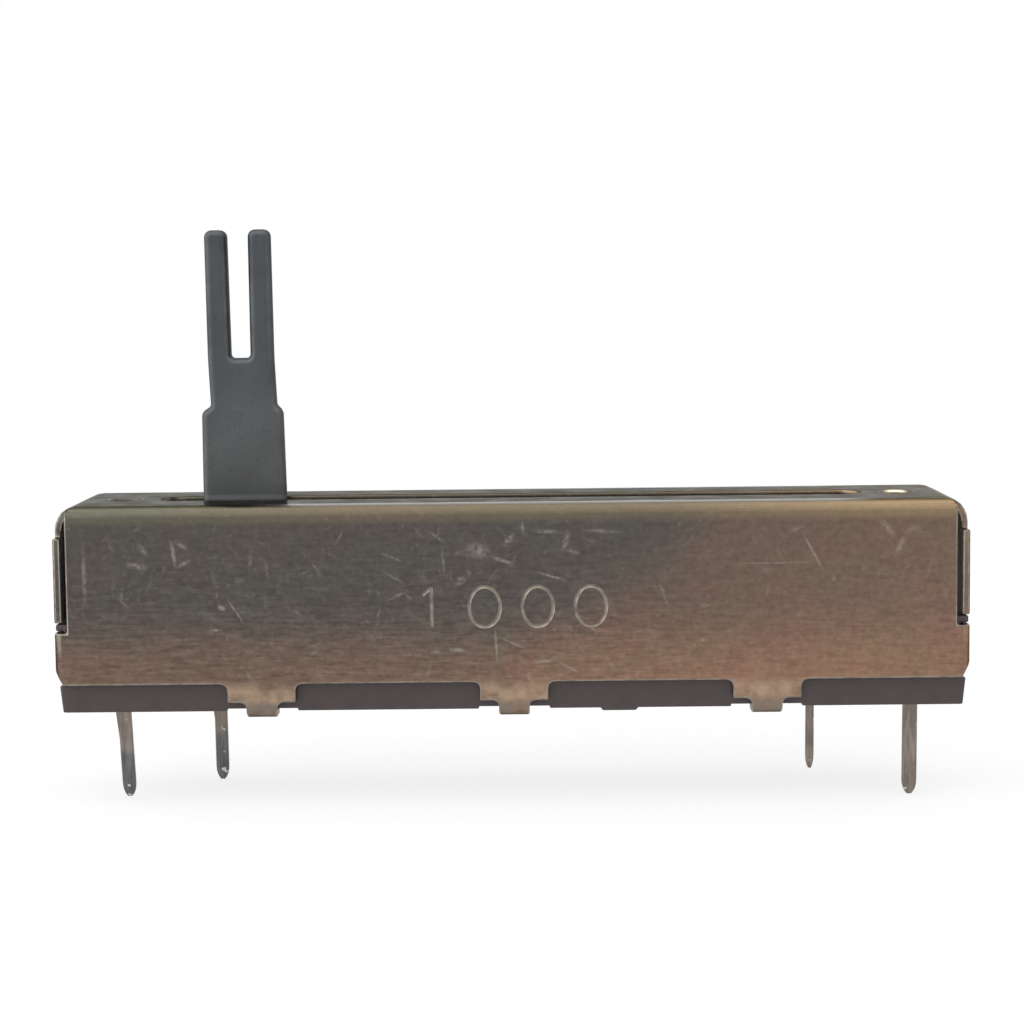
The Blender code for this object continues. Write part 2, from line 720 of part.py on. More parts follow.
def make_eyelets():
    """Hollow rivets, turned from one profile that runs down its outer side."""
    metal = finish("eyelet brass", (0.42, 0.36, 0.22), 1, 0.35)
    head_bottom = FOOT_TOP + PRINT_GAP
    head_top = head_bottom + EYELET_FLANGE_THICKNESS
    tail_top = BOARD_BOTTOM - PRINT_GAP
    tail_bottom = tail_top - EYELET_FLANGE_THICKNESS
    profile = [(EYELET_BORE, head_top), (EYELET_FLANGE * 0.8, head_top)]
    profile += [(EYELET_FLANGE, head_bottom + EYELET_FLANGE_THICKNESS / 3)]
    profile += [(EYELET_FLANGE, head_bottom), (EYELET_RADIUS, head_bottom)]
    profile += [(EYELET_RADIUS, tail_top), (EYELET_FLANGE, tail_top)]
    profile += [(EYELET_FLANGE * 0.85, tail_bottom), (EYELET_BORE, tail_bottom)]
    for number, (side, row) in enumerate(TERMINALS.values(), 1):
        shape = bmesh.new()
        ring = [shape.verts.new((radius, 0, height)) for radius, height in profile]
        for start, end in zip(ring, ring[1:] + ring[:1]):
            shape.edges.new((start, end))
        mesh = bpy.data.meshes.new(f"eyelet_{number}")
        shape.to_mesh(mesh)
        shape.free()
        eyelet = add_object(f"eyelet_{number}", mesh, housing)
        turn = eyelet.modifiers.new("Turned", "SCREW")
        turn.angle = 2 * math.pi
        turn.steps = 20
        turn.render_steps = 20
        turn.use_smooth_shade = True
        turn.use_normal_calculate = True
        x, y = eyelet_place(side, row)
        eyelet.location = (x, y, 0)
        mesh.materials.append(metal)


def make_lever():
    """The stamped blade, drawn upright in X and Z about the carriage's middle height."""
    middle = (CARRIAGE_BOTTOM + CARRIAGE_TOP) / 2
    foot, tip = LEVER_FOOT - middle, LEVER_TIP - middle
    shoulder = PLATE_TOP + LEVER_SHOULDER - middle
    neck = shoulder + LEVER_SHOULDER_SLOPE
    fork = tip - FORK_DEPTH
    inner, outer = FORK_INNER_ROUND, FORK_TIP_ROUND
    halves = [(LEVER_WIDTH / 2, foot, inner), (LEVER_WIDTH / 2, PLATE_TOP - middle, 0)]
    halves += [(LEVER_SHOULDER_WIDTH / 2, shoulder, inner), (LEVER_NECK_WIDTH / 2, neck, inner)]
    halves += [(LEVER_TIP_WIDTH / 2, tip, outer), (FORK_GAP_TOP / 2, tip, inner)]
    halves += [(FORK_GAP_BOTTOM / 2, fork, inner)]
    right = [(x, z, radius) for x, z, radius in halves]
    left = [(-x, z, radius) for x, z, radius in reversed(halves)]
    shifted = [
        (x + LEVER_NECK_SHIFT if z == neck else x, z, radius) for x, z, radius in right + left
    ]
    lever = flat_solid("lever", [rounded_outline(shifted)], LEVER_THICKNESS, slider)
    lever.data.transform(Matrix.Rotation(math.pi / 2, 4, "X"))
    lever.location.z = middle
    lever.rotation_euler.y = -LEVER_LEAN
    edge = lever.modifiers.new("Rolled edge", "BEVEL")
    edge.limit_method = "ANGLE"
    edge.angle_limit = math.radians(60)
    edge.width = LEVER_EDGE_ROUND
    edge.segments = 3
    lever.data.materials.append(finish("lever steel", (0.085, 0.09, 0.09), 0.7, 0.45))


def make_carriage():
    length, width = CARRIAGE_HALF_LENGTH, CARRIAGE_HALF_WIDTH
    carriage = boxes(
        "carriage",
        [((-length, -width, CARRIAGE_BOTTOM), (length, width, CARRIAGE_TOP))],
        slider,
    )
    round_edges(carriage, lambda middle, direction: CARRIAGE_EDGE)
    waist = length - CARRIAGE_PAD_LENGTH
    low, high = CARRIAGE_BOTTOM - BEYOND, CARRIAGE_TOP + BEYOND
    reliefs = boxes(
        "side_reliefs",
        [((-waist, width - CARRIAGE_RELIEF, low), (waist, width + BEYOND, high))],
        slider,
    )
    mirror(reliefs, y=True)
    socket_x, socket_y = LEVER_WIDTH / 2 + FIT, LEVER_THICKNESS / 2 + FIT
    middle = (CARRIAGE_BOTTOM + CARRIAGE_TOP) / 2
    socket = boxes(
        "lever_socket",
        [((-socket_x, -socket_y, LEVER_FOOT - FIT - middle), (socket_x, socket_y, high - middle))],
        slider,
    )
    socket.location.z = middle
    socket.rotation_euler.y = -LEVER_LEAN
    recess_x, recess_y = WIPER_RECESS_HALF_LENGTH, WIPER_RECESS_HALF_WIDTH
    recess = boxes(
        "wiper_recess",
        [((-recess_x, -recess_y, low), (recess_x, recess_y, RECESS_CEILING))],
        slider,
    )
    posts = cylinders(
        "wiper_posts",
        [(POST_X, -POST_Y), (POST_X, POST_Y)],
        POST_RADIUS,
        RECESS_CEILING - WIPER_THICKNESS - 3 * FIT,
        RECESS_CEILING + FIT,
        slider,
        segments=16,
    )
    cut(carriage, reliefs, socket, recess)
    add(carriage, posts)
    carriage.data.materials.append(finish("acetal", (0.03, 0.03, 0.032), 0, 0.5))


def make_wiper():
    """A sprung contact: a staked plate, and four fingers that reach down to the tracks."""
    plate = RECESS_CEILING - FIT - WIPER_THICKNESS / 2
    touch = PRINT_TOP + PRINT_GAP + WIPER_THICKNESS / 2
    toe = WIPER_TOE_LENGTH
    path = [(WIPER_HEEL_X, plate), (-WIPER_ARM_LENGTH, plate), (-toe / 2, touch + WIPER_THICKNESS / 2)]
    path += [(0, touch), (toe / 2, touch + WIPER_THICKNESS / 2), (toe, touch + toe)]
    wiper = bent_strip("wiper", path, 2 * WIPER_PLATE_HALF_WIDTH, WIPER_THICKNESS, slider)
    low, high = -BEYOND, RECESS_CEILING + BEYOND
    near, far = -WIPER_ARM_LENGTH + WIPER_THICKNESS, toe + BEYOND
    inner, outer = TRACK_Y - TRACK_WIDTH / 2, TRACK_Y + TRACK_WIDTH / 2
    inner, outer = inner + WIPER_SPLIT / 2, outer - WIPER_SPLIT / 2
    split = WIPER_SPLIT / 2
    gaps = [(-inner, inner), (TRACK_Y - split, TRACK_Y + split), (-TRACK_Y - split, -TRACK_Y + split)]
    gaps += [(outer, BODY_WIDTH), (-BODY_WIDTH, -outer)]
    slits = boxes("finger_slits", [((near, a, low), (far, b, high)) for a, b in gaps], slider)
    holes = cylinders(
        "stake_holes",
        [(POST_X, -POST_Y), (POST_X, POST_Y)],
        POST_RADIUS + FIT,
        low,
        high,
        slider,
        segments=16,
    )
    cut(wiper, slits, holes)
    wiper.data.materials.append(finish("phosphor bronze", (0.5, 0.3, 0.14), 1, 0.3))


def make_feel_spring():
    """A bowed leaf on the carriage that bears on the plate's underside, with a lever window."""
    half = SPRING_LENGTH / 2
    low = CARRIAGE_TOP + PRINT_GAP + SPRING_THICKNESS
    high = PLATE_UNDER - PRINT_GAP - SPRING_THICKNESS / 2
    steps = 12
    places = [half * (2 * step / steps - 1) for step in range(steps + 1)]
    path = [(x, low + (high - low) * (1 - (x / half) ** 2)) for x in places]
    spring = bent_strip("feel_spring", path, SPRING_WIDTH, SPRING_THICKNESS, slider)
    window_x = LEVER_WIDTH / 2 + SPRING_WINDOW_GAP
    window_y = LEVER_THICKNESS / 2 + SPRING_WINDOW_GAP
    low, high = CARRIAGE_TOP - BEYOND, PLATE_TOP + BEYOND
    window = boxes(
        "lever_window", [((-window_x, -window_y, low), (window_x, window_y, high))], slider
    )
    cut(spring, window)
    spring.data.materials.append(finish("spring steel", (0.35, 0.35, 0.35), 1, 0.3))


clear_scene()
parts = new_collection("slide_potentiometer")
cutters = new_collection("cutters")
housing = add_object("housing", None)
slider = add_object("slider", None)
slider.location.x = SLIDER_X
make_frame()
make_base()
make_board()
make_tracks()
make_terminals()
make_eyelets()
make_carriage()
make_lever()
make_wiper()
make_feel_spring()
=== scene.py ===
"""Dresses the solids of a slide potentiometer: a folded case of plated steel over a moulded base,
with a forked lever, tinned pins and, inside, the carriage, the wiper and the printed element.

Lengths are in metres, in the solids' frame: the origin is under the middle of the base, the
lever travels along X, and the front wall looks along -Y.
"""

import contextlib
import json
import math

import bpy
from mathutils import Matrix, Vector

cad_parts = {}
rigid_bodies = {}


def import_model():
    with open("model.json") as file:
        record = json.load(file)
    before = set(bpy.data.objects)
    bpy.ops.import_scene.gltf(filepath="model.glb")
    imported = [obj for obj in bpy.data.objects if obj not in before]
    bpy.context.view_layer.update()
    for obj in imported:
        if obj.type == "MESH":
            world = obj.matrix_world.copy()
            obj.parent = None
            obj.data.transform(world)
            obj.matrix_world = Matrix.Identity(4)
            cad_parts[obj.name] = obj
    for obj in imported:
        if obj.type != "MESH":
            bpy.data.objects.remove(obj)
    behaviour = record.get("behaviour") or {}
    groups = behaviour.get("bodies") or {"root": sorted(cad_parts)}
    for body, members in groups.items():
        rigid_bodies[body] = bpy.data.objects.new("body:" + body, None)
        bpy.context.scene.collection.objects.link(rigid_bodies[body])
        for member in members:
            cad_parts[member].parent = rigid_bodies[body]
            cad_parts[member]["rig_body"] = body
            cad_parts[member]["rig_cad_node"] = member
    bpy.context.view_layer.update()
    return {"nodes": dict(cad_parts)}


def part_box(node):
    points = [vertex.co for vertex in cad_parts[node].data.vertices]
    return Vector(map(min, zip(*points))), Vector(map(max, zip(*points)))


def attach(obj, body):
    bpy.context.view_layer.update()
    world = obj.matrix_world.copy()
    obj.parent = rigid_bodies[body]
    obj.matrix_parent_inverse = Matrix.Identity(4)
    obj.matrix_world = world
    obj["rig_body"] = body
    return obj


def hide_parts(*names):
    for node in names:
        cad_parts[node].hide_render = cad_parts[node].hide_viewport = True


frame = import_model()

bl_info = {
    "name": "Slide potentiometer",
    "version": (1, 0, 0),
    "blender": (4, 5, 0),
    "location": "3D View > Sidebar > Potentiometer",
    "description": "Builds the visible pieces and finishes of a slide potentiometer",
    "category": "Object",
}

CASE_LOW, CASE_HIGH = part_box("frame")
CARRIAGE_LOW, CARRIAGE_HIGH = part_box("carriage")
LEVER_LOW, LEVER_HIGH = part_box("lever")
TERMINALS = [name for name in frame["nodes"] if name.startswith("terminal")]
EYELETS = [name for name in frame["nodes"] if name.startswith("eyelet")]
PIN_TIPS = min(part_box(name)[0].z for name in TERMINALS)
MILLIMETRE = 0.001
SLOT_END = 0.0183  # the holes lie further out than this, from the middle
HOLE_REACH = 0.001
HOLE_PLACE = 0.0195  # the right hole's middle
TOP_BEND = 0.00065  # from the walls in to where the top is flat
INNER_DEPTH = 0.0003  # the sheet's inner faces lie further in than this
SLOT_REACH = 0.0014  # the slot's edges lie within this, across the plate
BLOCK_ROUND = 0.00005  # along the carriage's edges
SAME_POINT = 0.0000002  # points this close are merged
SAME_LEVEL = 0.00001  # heights this close are one level
MARK_PLACES = (-0.0175, -0.0062, 0.0062, 0.0175)  # along the base
LAMP_AIM = Vector((0, 0, 0.005))

# The camera that the photograph was taken with
CAMERA_PLACE = Vector((0.00097, -0.11985, 0.0208))
CAMERA_YAW = math.radians(0.437)
CAMERA_PITCH = math.radians(-5.458)
CAMERA_ROLL = math.radians(0.639)
CAMERA_LENS = 83.55
SENSOR_WIDTH = 36


# Settings


def linear(hex_colour):
    """A shader's colour from an sRGB hex value."""
    channels = (int(hex_colour[place : place + 2], 16) / 255 for place in (1, 3, 5))
    return [c / 12.92 if c <= 0.04045 else ((c + 0.055) / 1.055) ** 2.4 for c in channels]


def colour_property(name, description, hex_colour):
    return bpy.props.FloatVectorProperty(
        name=name,
        description=description,
        subtype="COLOR",
        size=3,
        min=0,
        max=1,
        default=linear(hex_colour),
    )


def length_property(name, description, default):
    return bpy.props.FloatProperty(
        name=name, description=description, unit="LENGTH", min=0, precision=5, default=default
    )


class CaseSettings(bpy.types.PropertyGroup):
    edge_round: length_property("Edge rounding", "Radius of the punched edges", 0.00009)
    hole_round: length_property("Hole rim", "Width of the screw holes' rounded rims", 0.00012)
    number_height: length_property("Number height", "Height of the stamped number", 0.00215)
    number_width: length_property("Numeral width", "Width of a stamped nought", 0.0017)
    number_pitch: length_property("Number pitch", "From one numeral to the next", 0.0026)
    number_level: length_property("Number level", "Height of the number's middle", 0.00513)
    number_stroke: length_property("Stroke", "Width of the struck line", 0.00018)
    number_depth: length_property("Struck depth", "How deep the line is struck", 0.00005)
    steel: colour_property("Steel", "Plated sheet where it is grey", "#595553")
    # The colour of a warm reflection painted on the sheet, towards the right and the foot
    warm_reflection_colour: colour_property("Tint", "Plated sheet where it has yellowed", "#8D7060")
    worn: colour_property("Worn steel", "Edges and scuffs that are rubbed bright", "#928A80")
    # The bend colours are stretched plating with a painted reflection from above, cooler at the
    # left and warmer at the right
    bend: colour_property("Bend", "Plating stretched over the bends", "#85765C")
    bend_left: colour_property("Bend, left", "The same, near the left end", "#72745F")
    bend_right: colour_property("Bend, right", "The same, near the right end", "#A8926C")
    # The colour of the painted highlight where the top starts to bend
    line: colour_property("Highlight line", "Where the top starts to bend", "#8C8780")
    # The inner faces' colour, painted pale as light that lifts the shade in the gaps
    lightened_inner: colour_property("Inner steel, lightened", "The sheet's inner faces", "#B8B4AC")


class LeverSettings(bpy.types.PropertyGroup):
    steel: colour_property("Steel", "Dull plated blade", "#5A5B5C")
    prongs: colour_property("Prongs", "The blade's bluer upper end", "#505356")
    # Also the colour of the pale band and of a painted highlight on the rounded edges
    worn: colour_property("Worn steel", "Edges that are rubbed bright", "#9A9FA1")
    soft_edge: length_property("Soft edge", "How far in the edges are rolled over", 0.00034)
    thickness: length_property("Thickness", "Thickness of the blade", 0.0012)
    width: length_property("Width", "Width where it passes the slot", 0.00418)
    shoulder_width: length_property("Shoulder width", "Width below the shoulders", 0.00407)
    shoulder_height: length_property("Shoulder height", "From the plate up", 0.0044)
    shoulder_slope: length_property("Shoulder slope", "Height of the sloping shoulders", 0.0003)
    neck_width: length_property("Neck width", "Width above the shoulders", 0.0033)
    neck_shift: length_property("Neck shift", "How far the neck lies to the right", 0.00008)
    reach: length_property("Reach", "From the plate to the tip", 0.0135)
    foot_depth: length_property("Foot depth", "How deep it stands in the carriage", 0.0041)
    fork_depth: length_property("Fork depth", "From the tip down", 0.00641)
    fork_top: length_property("Fork gap, top", "Between the prongs' tips", 0.00108)
    fork_bottom: length_property("Fork gap, bottom", "At the foot of the gap", 0.001)
    end_corner: length_property("End corners", "Radius at the tips and the foot", 0.00036)
    inner_corner: length_property("Inner corners", "At the fork and the shoulders", 0.0002)
    neck_corner: length_property("Neck corners", "Where the neck starts", 0.00012)
    lean: bpy.props.FloatProperty(
        name="Lean", description="Towards the left", subtype="ANGLE", default=math.radians(0.55)
    )
    # Height of a pale band round the blade, just above the plate
    pale_band_height: length_property("Pale band", "Height of the band that the slot rubs", 0.0002)


class BaseSettings(bpy.types.PropertyGroup):
    edge_round: length_property("Edge rounding", "Radius of the moulded edges", 0.00005)
    mark_radius: length_property("Ejector mark", "Radius of an ejector mark", 0.0007)
    mark_depth: length_property("Mark depth", "Depth of an ejector mark", 0.00004)
    resin: colour_property("Resin", "Moulded phenolic", "#382C2C")


class PinSettings(bpy.types.PropertyGroup):
    edge_round: length_property("Edge rounding", "Radius along the pins' edges", 0.00007)
    tin: colour_property("Tin", "Dull tin plating", "#857B73")
    dipped: colour_property("Dipped tin", "Darker skin on the left pins' tips", "#6A6C6C")
    # The colour of the painted glints on the smooth tin
    bright: colour_property("Tin glints", "Where the tin is smooth", "#C5C3BE")


class StageSettings(bpy.types.PropertyGroup):
    floor_size: length_property("Floor size", "Side of the floor and the backdrop", 4.0)
    floor: colour_property("Floor", "Floor and backdrop", "#FFFFFF")
    world: bpy.props.FloatProperty(
        name="World", description="Strength of the light from all round", default=0.7, min=0
    )
    overhead: bpy.props.FloatProperty(
        name="Overhead lamp", description="Power of the large lamp above", unit="POWER", default=2.0
    )
    side: bpy.props.FloatProperty(
        name="Side lamp", description="Power of the lamp at the left", unit="POWER", default=0.85
    )


# Modelling


def deselect():
    if bpy.context.mode != "OBJECT":
        bpy.ops.object.mode_set(mode="OBJECT")
    bpy.ops.object.select_all(action="DESELECT")


def pick(*things):
    """Selects these objects alone, the first of them active."""
    deselect()
    for thing in things:
        thing.select_set(True)
    bpy.context.view_layer.objects.active = things[0]


@contextlib.contextmanager
def editing():
    """Edit mode for the active object, and then object mode again."""
    bpy.ops.object.mode_set(mode="EDIT")
    yield
    bpy.ops.object.mode_set(mode="OBJECT")


def name_piece(name):
    piece = bpy.context.object
    piece.name = name
    piece.data.name = name
    return piece


def apply_modifiers(piece):
    pick(piece)
    for modifier in list(piece.modifiers):
        bpy.ops.object.modifier_apply(modifier=modifier.name)


def merged_copy(node, name):
    """A piece that starts as a copy of a CAD node, its loose triangles merged into faces."""
    pick(frame["nodes"][node])
    bpy.ops.object.duplicate(linked=False)
    piece = name_piece(name)
    piece.parent = None
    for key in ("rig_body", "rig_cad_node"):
        del piece[key]
    with editing():
        bpy.ops.mesh.select_all(action="SELECT")
        bpy.ops.mesh.customdata_custom_splitnormals_clear()
        bpy.ops.mesh.remove_doubles(threshold=SAME_POINT)
        bpy.ops.mesh.dissolve_limited(angle_limit=math.radians(0.5))
    return piece


def clear_selection(piece, kind):
    """Leaves nothing of a mesh selected, and edit mode set to points, edges or faces, by VERT,
    EDGE or FACE.
    """
    pick(piece)
    with editing():
        bpy.ops.mesh.select_mode(type=kind)
        bpy.ops.mesh.select_all(action="DESELECT")


def pick_edges(piece, wanted):
    """Selects the edges that a test wants. It is given both ends and the faces' materials."""
    clear_selection(piece, "EDGE")
    mesh = piece.data
    materials = {}
    for face in mesh.polygons:
        for key in face.edge_keys:
            materials.setdefault(key, set()).add(face.material_index)
    for edge in mesh.edges:
        ends = [mesh.vertices[index].co for index in edge.vertices]
        edge.select = wanted(edge, ends, materials[edge.key])


def bevel_picked(width, segments, material=-1):
    with editing():
        bpy.ops.mesh.bevel(
            offset=width, segments=segments, affect="EDGES", material=material, clamp_overlap=False
        )


def round_edges(piece, width, angle=32, segments=2, material=-1):
    """Rounds the edges that are sharper than an angle, apart from those of cut faces."""
    clear_selection(piece, "EDGE")
    with editing():
        bpy.ops.mesh.edges_select_sharp(sharpness=math.radians(angle))
    sharp = {edge.key for edge in piece.data.edges if edge.select}
    pick_edges(piece, lambda edge, ends, faces: edge.key in sharp and 1 not in faces)
    bevel_picked(width, segments, material)


def edit_parts(piece, kind, wanted):
    """Goes into edit mode with the points, by VERT, or the faces, by FACE, that a test wants."""
    clear_selection(piece, kind)
    for part in piece.data.vertices if kind == "VERT" else piece.data.polygons:
        part.select = wanted(part)
    bpy.ops.object.mode_set(mode="EDIT")


def roll_over(piece, radius, steps):
    """Rounds a flat blade's outline: each broad face is drawn out and inset in steps that
    follow an arc.
    """
    arc = [math.pi / 2 * step / steps for step in range(steps + 1)]
    for side in (-1, 1):
        edit_parts(piece, "FACE", lambda face: face.normal.y * side > 0.99)
        for start, end in zip(arc, arc[1:]):
            inwards = radius * (math.cos(start) - math.cos(end))
            outwards = radius * (math.sin(end) - math.sin(start))
            bpy.ops.mesh.inset(thickness=inwards, depth=outwards)
        bpy.ops.object.mode_set(mode="OBJECT")


def cut(piece, cutters):
    """Cuts these objects out of a piece. The cut faces take the piece's last material."""
    pick(*cutters)
    if len(cutters) > 1:
        bpy.ops.object.join()
    cutter = bpy.context.object
    for face in cutter.data.polygons:
        face.material_index = len(piece.data.materials) - 1
    difference = piece.modifiers.new("Cut", "BOOLEAN")
    difference.solver = "EXACT"
    difference.use_self = True
    difference.object = cutter
    apply_modifiers(piece)
    bpy.data.objects.remove(cutter, do_unlink=True)


def smooth(piece, angle=35):
    """Shades smooth across the small angles, and keeps the large faces flat."""
    pick(piece)
    bpy.ops.object.shade_smooth_by_angle(angle=math.radians(angle))
    flat = piece.modifiers.new("Flat faces", "WEIGHTED_NORMAL")
    flat.keep_sharp = True
    apply_modifiers(piece)


def coat(piece, *materials):
    """Gives a piece these materials. All its faces take the first."""
    piece.data.materials.clear()
    for material in materials:
        piece.data.materials.append(material)


def settle(piece, body, slot, *nodes):
    """Ends a piece: its place goes into its mesh, and it rides on its body."""
    pick(piece)
    bpy.ops.object.transform_apply()
    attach(piece, body)
    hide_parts(*nodes)


def softened_copy(node, name, material, width, body, slot):
    """A copy of a CAD node with a finish of its own and its edges rounded."""
    piece = merged_copy(node, name)
    coat(piece, material)
    round_edges(piece, width, angle=50)
    smooth(piece, angle=50)
    settle(piece, body, slot, node)


# Materials


def feed(node, inputs):
    """Sets a node's inputs, listed in their order or under their names. A value is a number, a
    colour, an output, or a node, whose first output in use then feeds the input.
    """
    for socket, value in inputs.items() if isinstance(inputs, dict) else enumerate(inputs):
        if isinstance(value, bpy.types.Node):
            value = next(output for output in value.outputs if output.enabled)
        if isinstance(value, bpy.types.NodeSocket):
            node.id_data.links.new(value, node.inputs[socket])
        else:
            node.inputs[socket].default_value = value


def add_node(tree, kind, inputs=None, **settings):
    """Adds a shader node with its settings and what feeds it."""
    node = tree.nodes.new("ShaderNode" + kind)
    for name, value in settings.items():
        setattr(node, name, value)
    feed(node, inputs or {})
    return node


def new_material(name, **constants):
    """A material, its node tree and its shader, with the shader's own constants set."""
    material = bpy.data.materials.new(name)
    material.use_nodes = True
    tree = material.node_tree
    shader = tree.nodes["Principled BSDF"]
    feed(shader, {socket.replace("_", " "): value for socket, value in constants.items()})
    return material, tree, shader


def finish(shader, colour, roughness, height, depth):
    """Gives a shader its colour, its roughness and a relief this deep, in metres."""
    relief = add_node(shader.id_data, "Bump", {"Height": height, "Distance": depth})
    feed(shader, {"Base Color": colour, "Roughness": roughness, "Normal": relief})


def rgba(colour):
    """An input's colour from a hex value or from three channels. A node stays as it is."""
    if isinstance(colour, bpy.types.Node):
        return colour
    return (*(linear(colour) if isinstance(colour, str) else colour), 1)


def millimetres(tree, stretch=(1, 1, 1)):
    """Object coordinates in millimetres, so that a scale is a number of features per millimetre."""
    place = add_node(tree, "TexCoord").outputs["Object"]
    scale = [factor / MILLIMETRE for factor in stretch]
    return add_node(tree, "Mapping", {"Vector": place, "Scale": scale})


def patchy(tree, place, scale, detail, start, end, low=0.0, high=1.0):
    """Soft patches, scale of them to the millimetre, that pass from a low value to a high one."""
    noise = add_node(tree, "TexNoise", {"Vector": place, "Scale": scale, "Detail": detail})
    return add_node(tree, "MapRange", [noise, start, end, low, high])


def band(tree, value, rise, fall):
    """1 where a value is past its rise and short of its fall, each a start and an end."""
    risen = add_node(tree, "MapRange", [value, rise[0], rise[1]])
    fallen = add_node(tree, "MapRange", [value, fall[1], fall[0]])
    return add_node(tree, "Math", [risen, fallen], operation="MULTIPLY")


def layered(tree, colour, *layers):
    """A colour with layers laid over it in turn. Each has its share and its own colour, and
    covers what is below, or darkens and lightens it where it ends with MULTIPLY.
    """
    for share, layer, *blend in layers:
        inputs = {0: share, 6: rgba(colour), 7: rgba(layer)}
        blend_type = blend[0] if blend else "MIX"
        colour = add_node(tree, "Mix", inputs, data_type="RGBA", blend_type=blend_type)
    return colour


def off_square(tree):
    """From 0 on faces square to an axis to 1 on those at 30 degrees or more: bends and edges."""
    normal = add_node(tree, "TexCoord").outputs["Normal"]
    size = add_node(tree, "VectorMath", [normal], operation="ABSOLUTE")
    x, y, z = add_node(tree, "SeparateXYZ", [size]).outputs
    larger = add_node(tree, "Math", [x, y], operation="MAXIMUM")
    largest = add_node(tree, "Math", [larger, z], operation="MAXIMUM")
    return add_node(tree, "MapRange", [largest, 0.985, 0.87])


def top_bends(tree):
    """1 on the bends between the top and the walls, and 0 on the faces that they join."""
    normal = add_node(tree, "TexCoord").outputs["Normal"]
    up = add_node(tree, "SeparateXYZ", [normal]).outputs[2]
    return band(tree, up, (0.03, 0.26), (0.97, 0.998))


def unrolled(tree):
    """The sheet laid flat, in millimetres: along it, and up its wall and on across its top."""
    x, y, z = add_node(tree, "SeparateXYZ", [millimetres(tree)]).outputs
    slant = add_node(tree, "Math", [y, 0.4], operation="MULTIPLY")
    along = add_node(tree, "Math", [x, slant], operation="ADD")
    up = add_node(tree, "Math", [z, y], operation="ADD")
    return add_node(tree, "CombineXYZ", [along, up])


def strokes(tree, sheet, cell, length, width):
    """Short marks, from 0 to 1, one in each cell of the sheet, each turned its own way. The
    sizes are in millimetres.
    """
    inputs = {"Vector": sheet, "Scale": 1 / cell}
    cells = add_node(tree, "TexVoronoi", inputs, voronoi_dimensions="2D").outputs
    chance = add_node(tree, "SeparateXYZ", [cells["Color"]]).outputs
    offset = add_node(tree, "VectorMath", [sheet, cells["Position"]], operation="SUBTRACT")
    angle = add_node(tree, "Math", [chance[0], math.tau], operation="MULTIPLY")
    inputs = {"Vector": offset, "Angle": angle}
    turned = add_node(tree, "VectorRotate", inputs, rotation_type="Z_AXIS")
    inner = add_node(tree, "VectorMath", [turned, (1 / length, 1 / width, 0)], operation="MULTIPLY")
    reach = add_node(tree, "VectorMath", [inner], operation="LENGTH")
    mark = add_node(tree, "MapRange", [reach, 1.0, 0.1])
    return add_node(tree, "Math", [mark, chance[1]], operation="MULTIPLY")


# Scuffs on the front wall: the middle in X and Z, the length and width, the turn, the strength
SCUFFS = (
    (-20.9, 6.9, 3.6, 0.30, 90, 0.5),
    (-16.5, 7.9, 1.6, 0.30, 80, 0.8),
    (-16.1, 8.3, 0.9, 0.30, 30, 0.6),
    (-16.0, 7.4, 0.9, 0.30, -25, 0.6),
    (-18.3, 7.3, 1.4, 0.45, 8, 0.6),
    (-18.0, 8.1, 0.9, 0.35, 50, 0.5),
    (-14.2, 5.2, 0.5, 0.35, 30, 1.0),
    (-13.5, 5.0, 1.6, 0.16, 57, 0.8),
    (-14.5, 4.1, 0.8, 0.20, 0, 0.7),
    (-1.6, 7.9, 1.5, 0.90, 15, 0.7),
    (-2.4, 7.8, 1.0, 0.30, -8, 0.4),
    (-0.4, 7.4, 1.5, 0.26, 18, 0.8),
    (-0.1, 8.4, 1.0, 0.40, -50, 0.7),
    (0.6, 9.0, 0.9, 0.22, 88, 0.6),
    (1.8, 8.8, 1.7, 0.28, 2, 0.5),
    (2.7, 8.3, 1.2, 0.36, -70, 0.7),
    (3.0, 7.8, 0.9, 0.30, 15, 0.6),
    (4.5, 8.8, 2.2, 0.24, 3, 0.5),
    (-3.6, 8.6, 1.2, 0.20, 35, 0.5),
    (-3.3, 7.4, 1.8, 0.18, 86, 0.5),
    (-2.5, 6.4, 0.8, 0.45, -30, 0.7),
    (-5.6, 5.7, 1.5, 0.20, -25, 0.5),
    (-5.7, 6.6, 1.3, 0.20, 30, 0.5),
    (-5.8, 7.6, 1.4, 0.18, 22, 0.5),
    (2.0, 6.6, 1.8, 0.20, 16, 0.8),
    (7.4, 5.9, 0.9, 0.16, 60, 0.5),
    (9.4, 3.4, 0.4, 0.26, 0, 0.8),
    (9.5, 5.1, 0.7, 0.16, 0, 0.5),
    (0.1, 3.3, 1.9, 0.18, 24, 0.6),
    (-0.75, 3.2, 2.0, 0.20, 87, 0.9),
    (-2.6, 3.0, 1.0, 0.28, 4, 1.0),
    (-3.7, 2.9, 0.7, 0.28, 0, 0.6),
    (1.6, 2.4, 1.4, 0.20, -6, 0.8),
    (2.8, 2.1, 1.7, 0.16, 28, 0.7),
    (0.85, 1.6, 0.9, 0.20, 75, 0.8),
    (14.75, 7.7, 2.4, 0.18, 61, 0.9),
    (13.9, 8.8, 1.0, 0.35, -20, 0.5),
    (18.4, 8.8, 1.3, 0.45, 50, 0.6),
    (19.0, 7.9, 1.3, 0.45, -65, 0.6),
    (19.6, 8.7, 1.0, 0.50, -20, 0.4),
    (15.8, 6.3, 0.4, 0.25, 70, 0.6),
    (13.0, 7.15, 5.6, 0.12, -1, 0.5),
)

# Fine marks in layers: the size of a cell that holds one, its length and width, the strength
STROKES = ((1.7, 0.60, 0.12, 0.7), (1.0, 0.32, 0.11, 0.6), (0.6, 0.10, 0.08, 0.6))


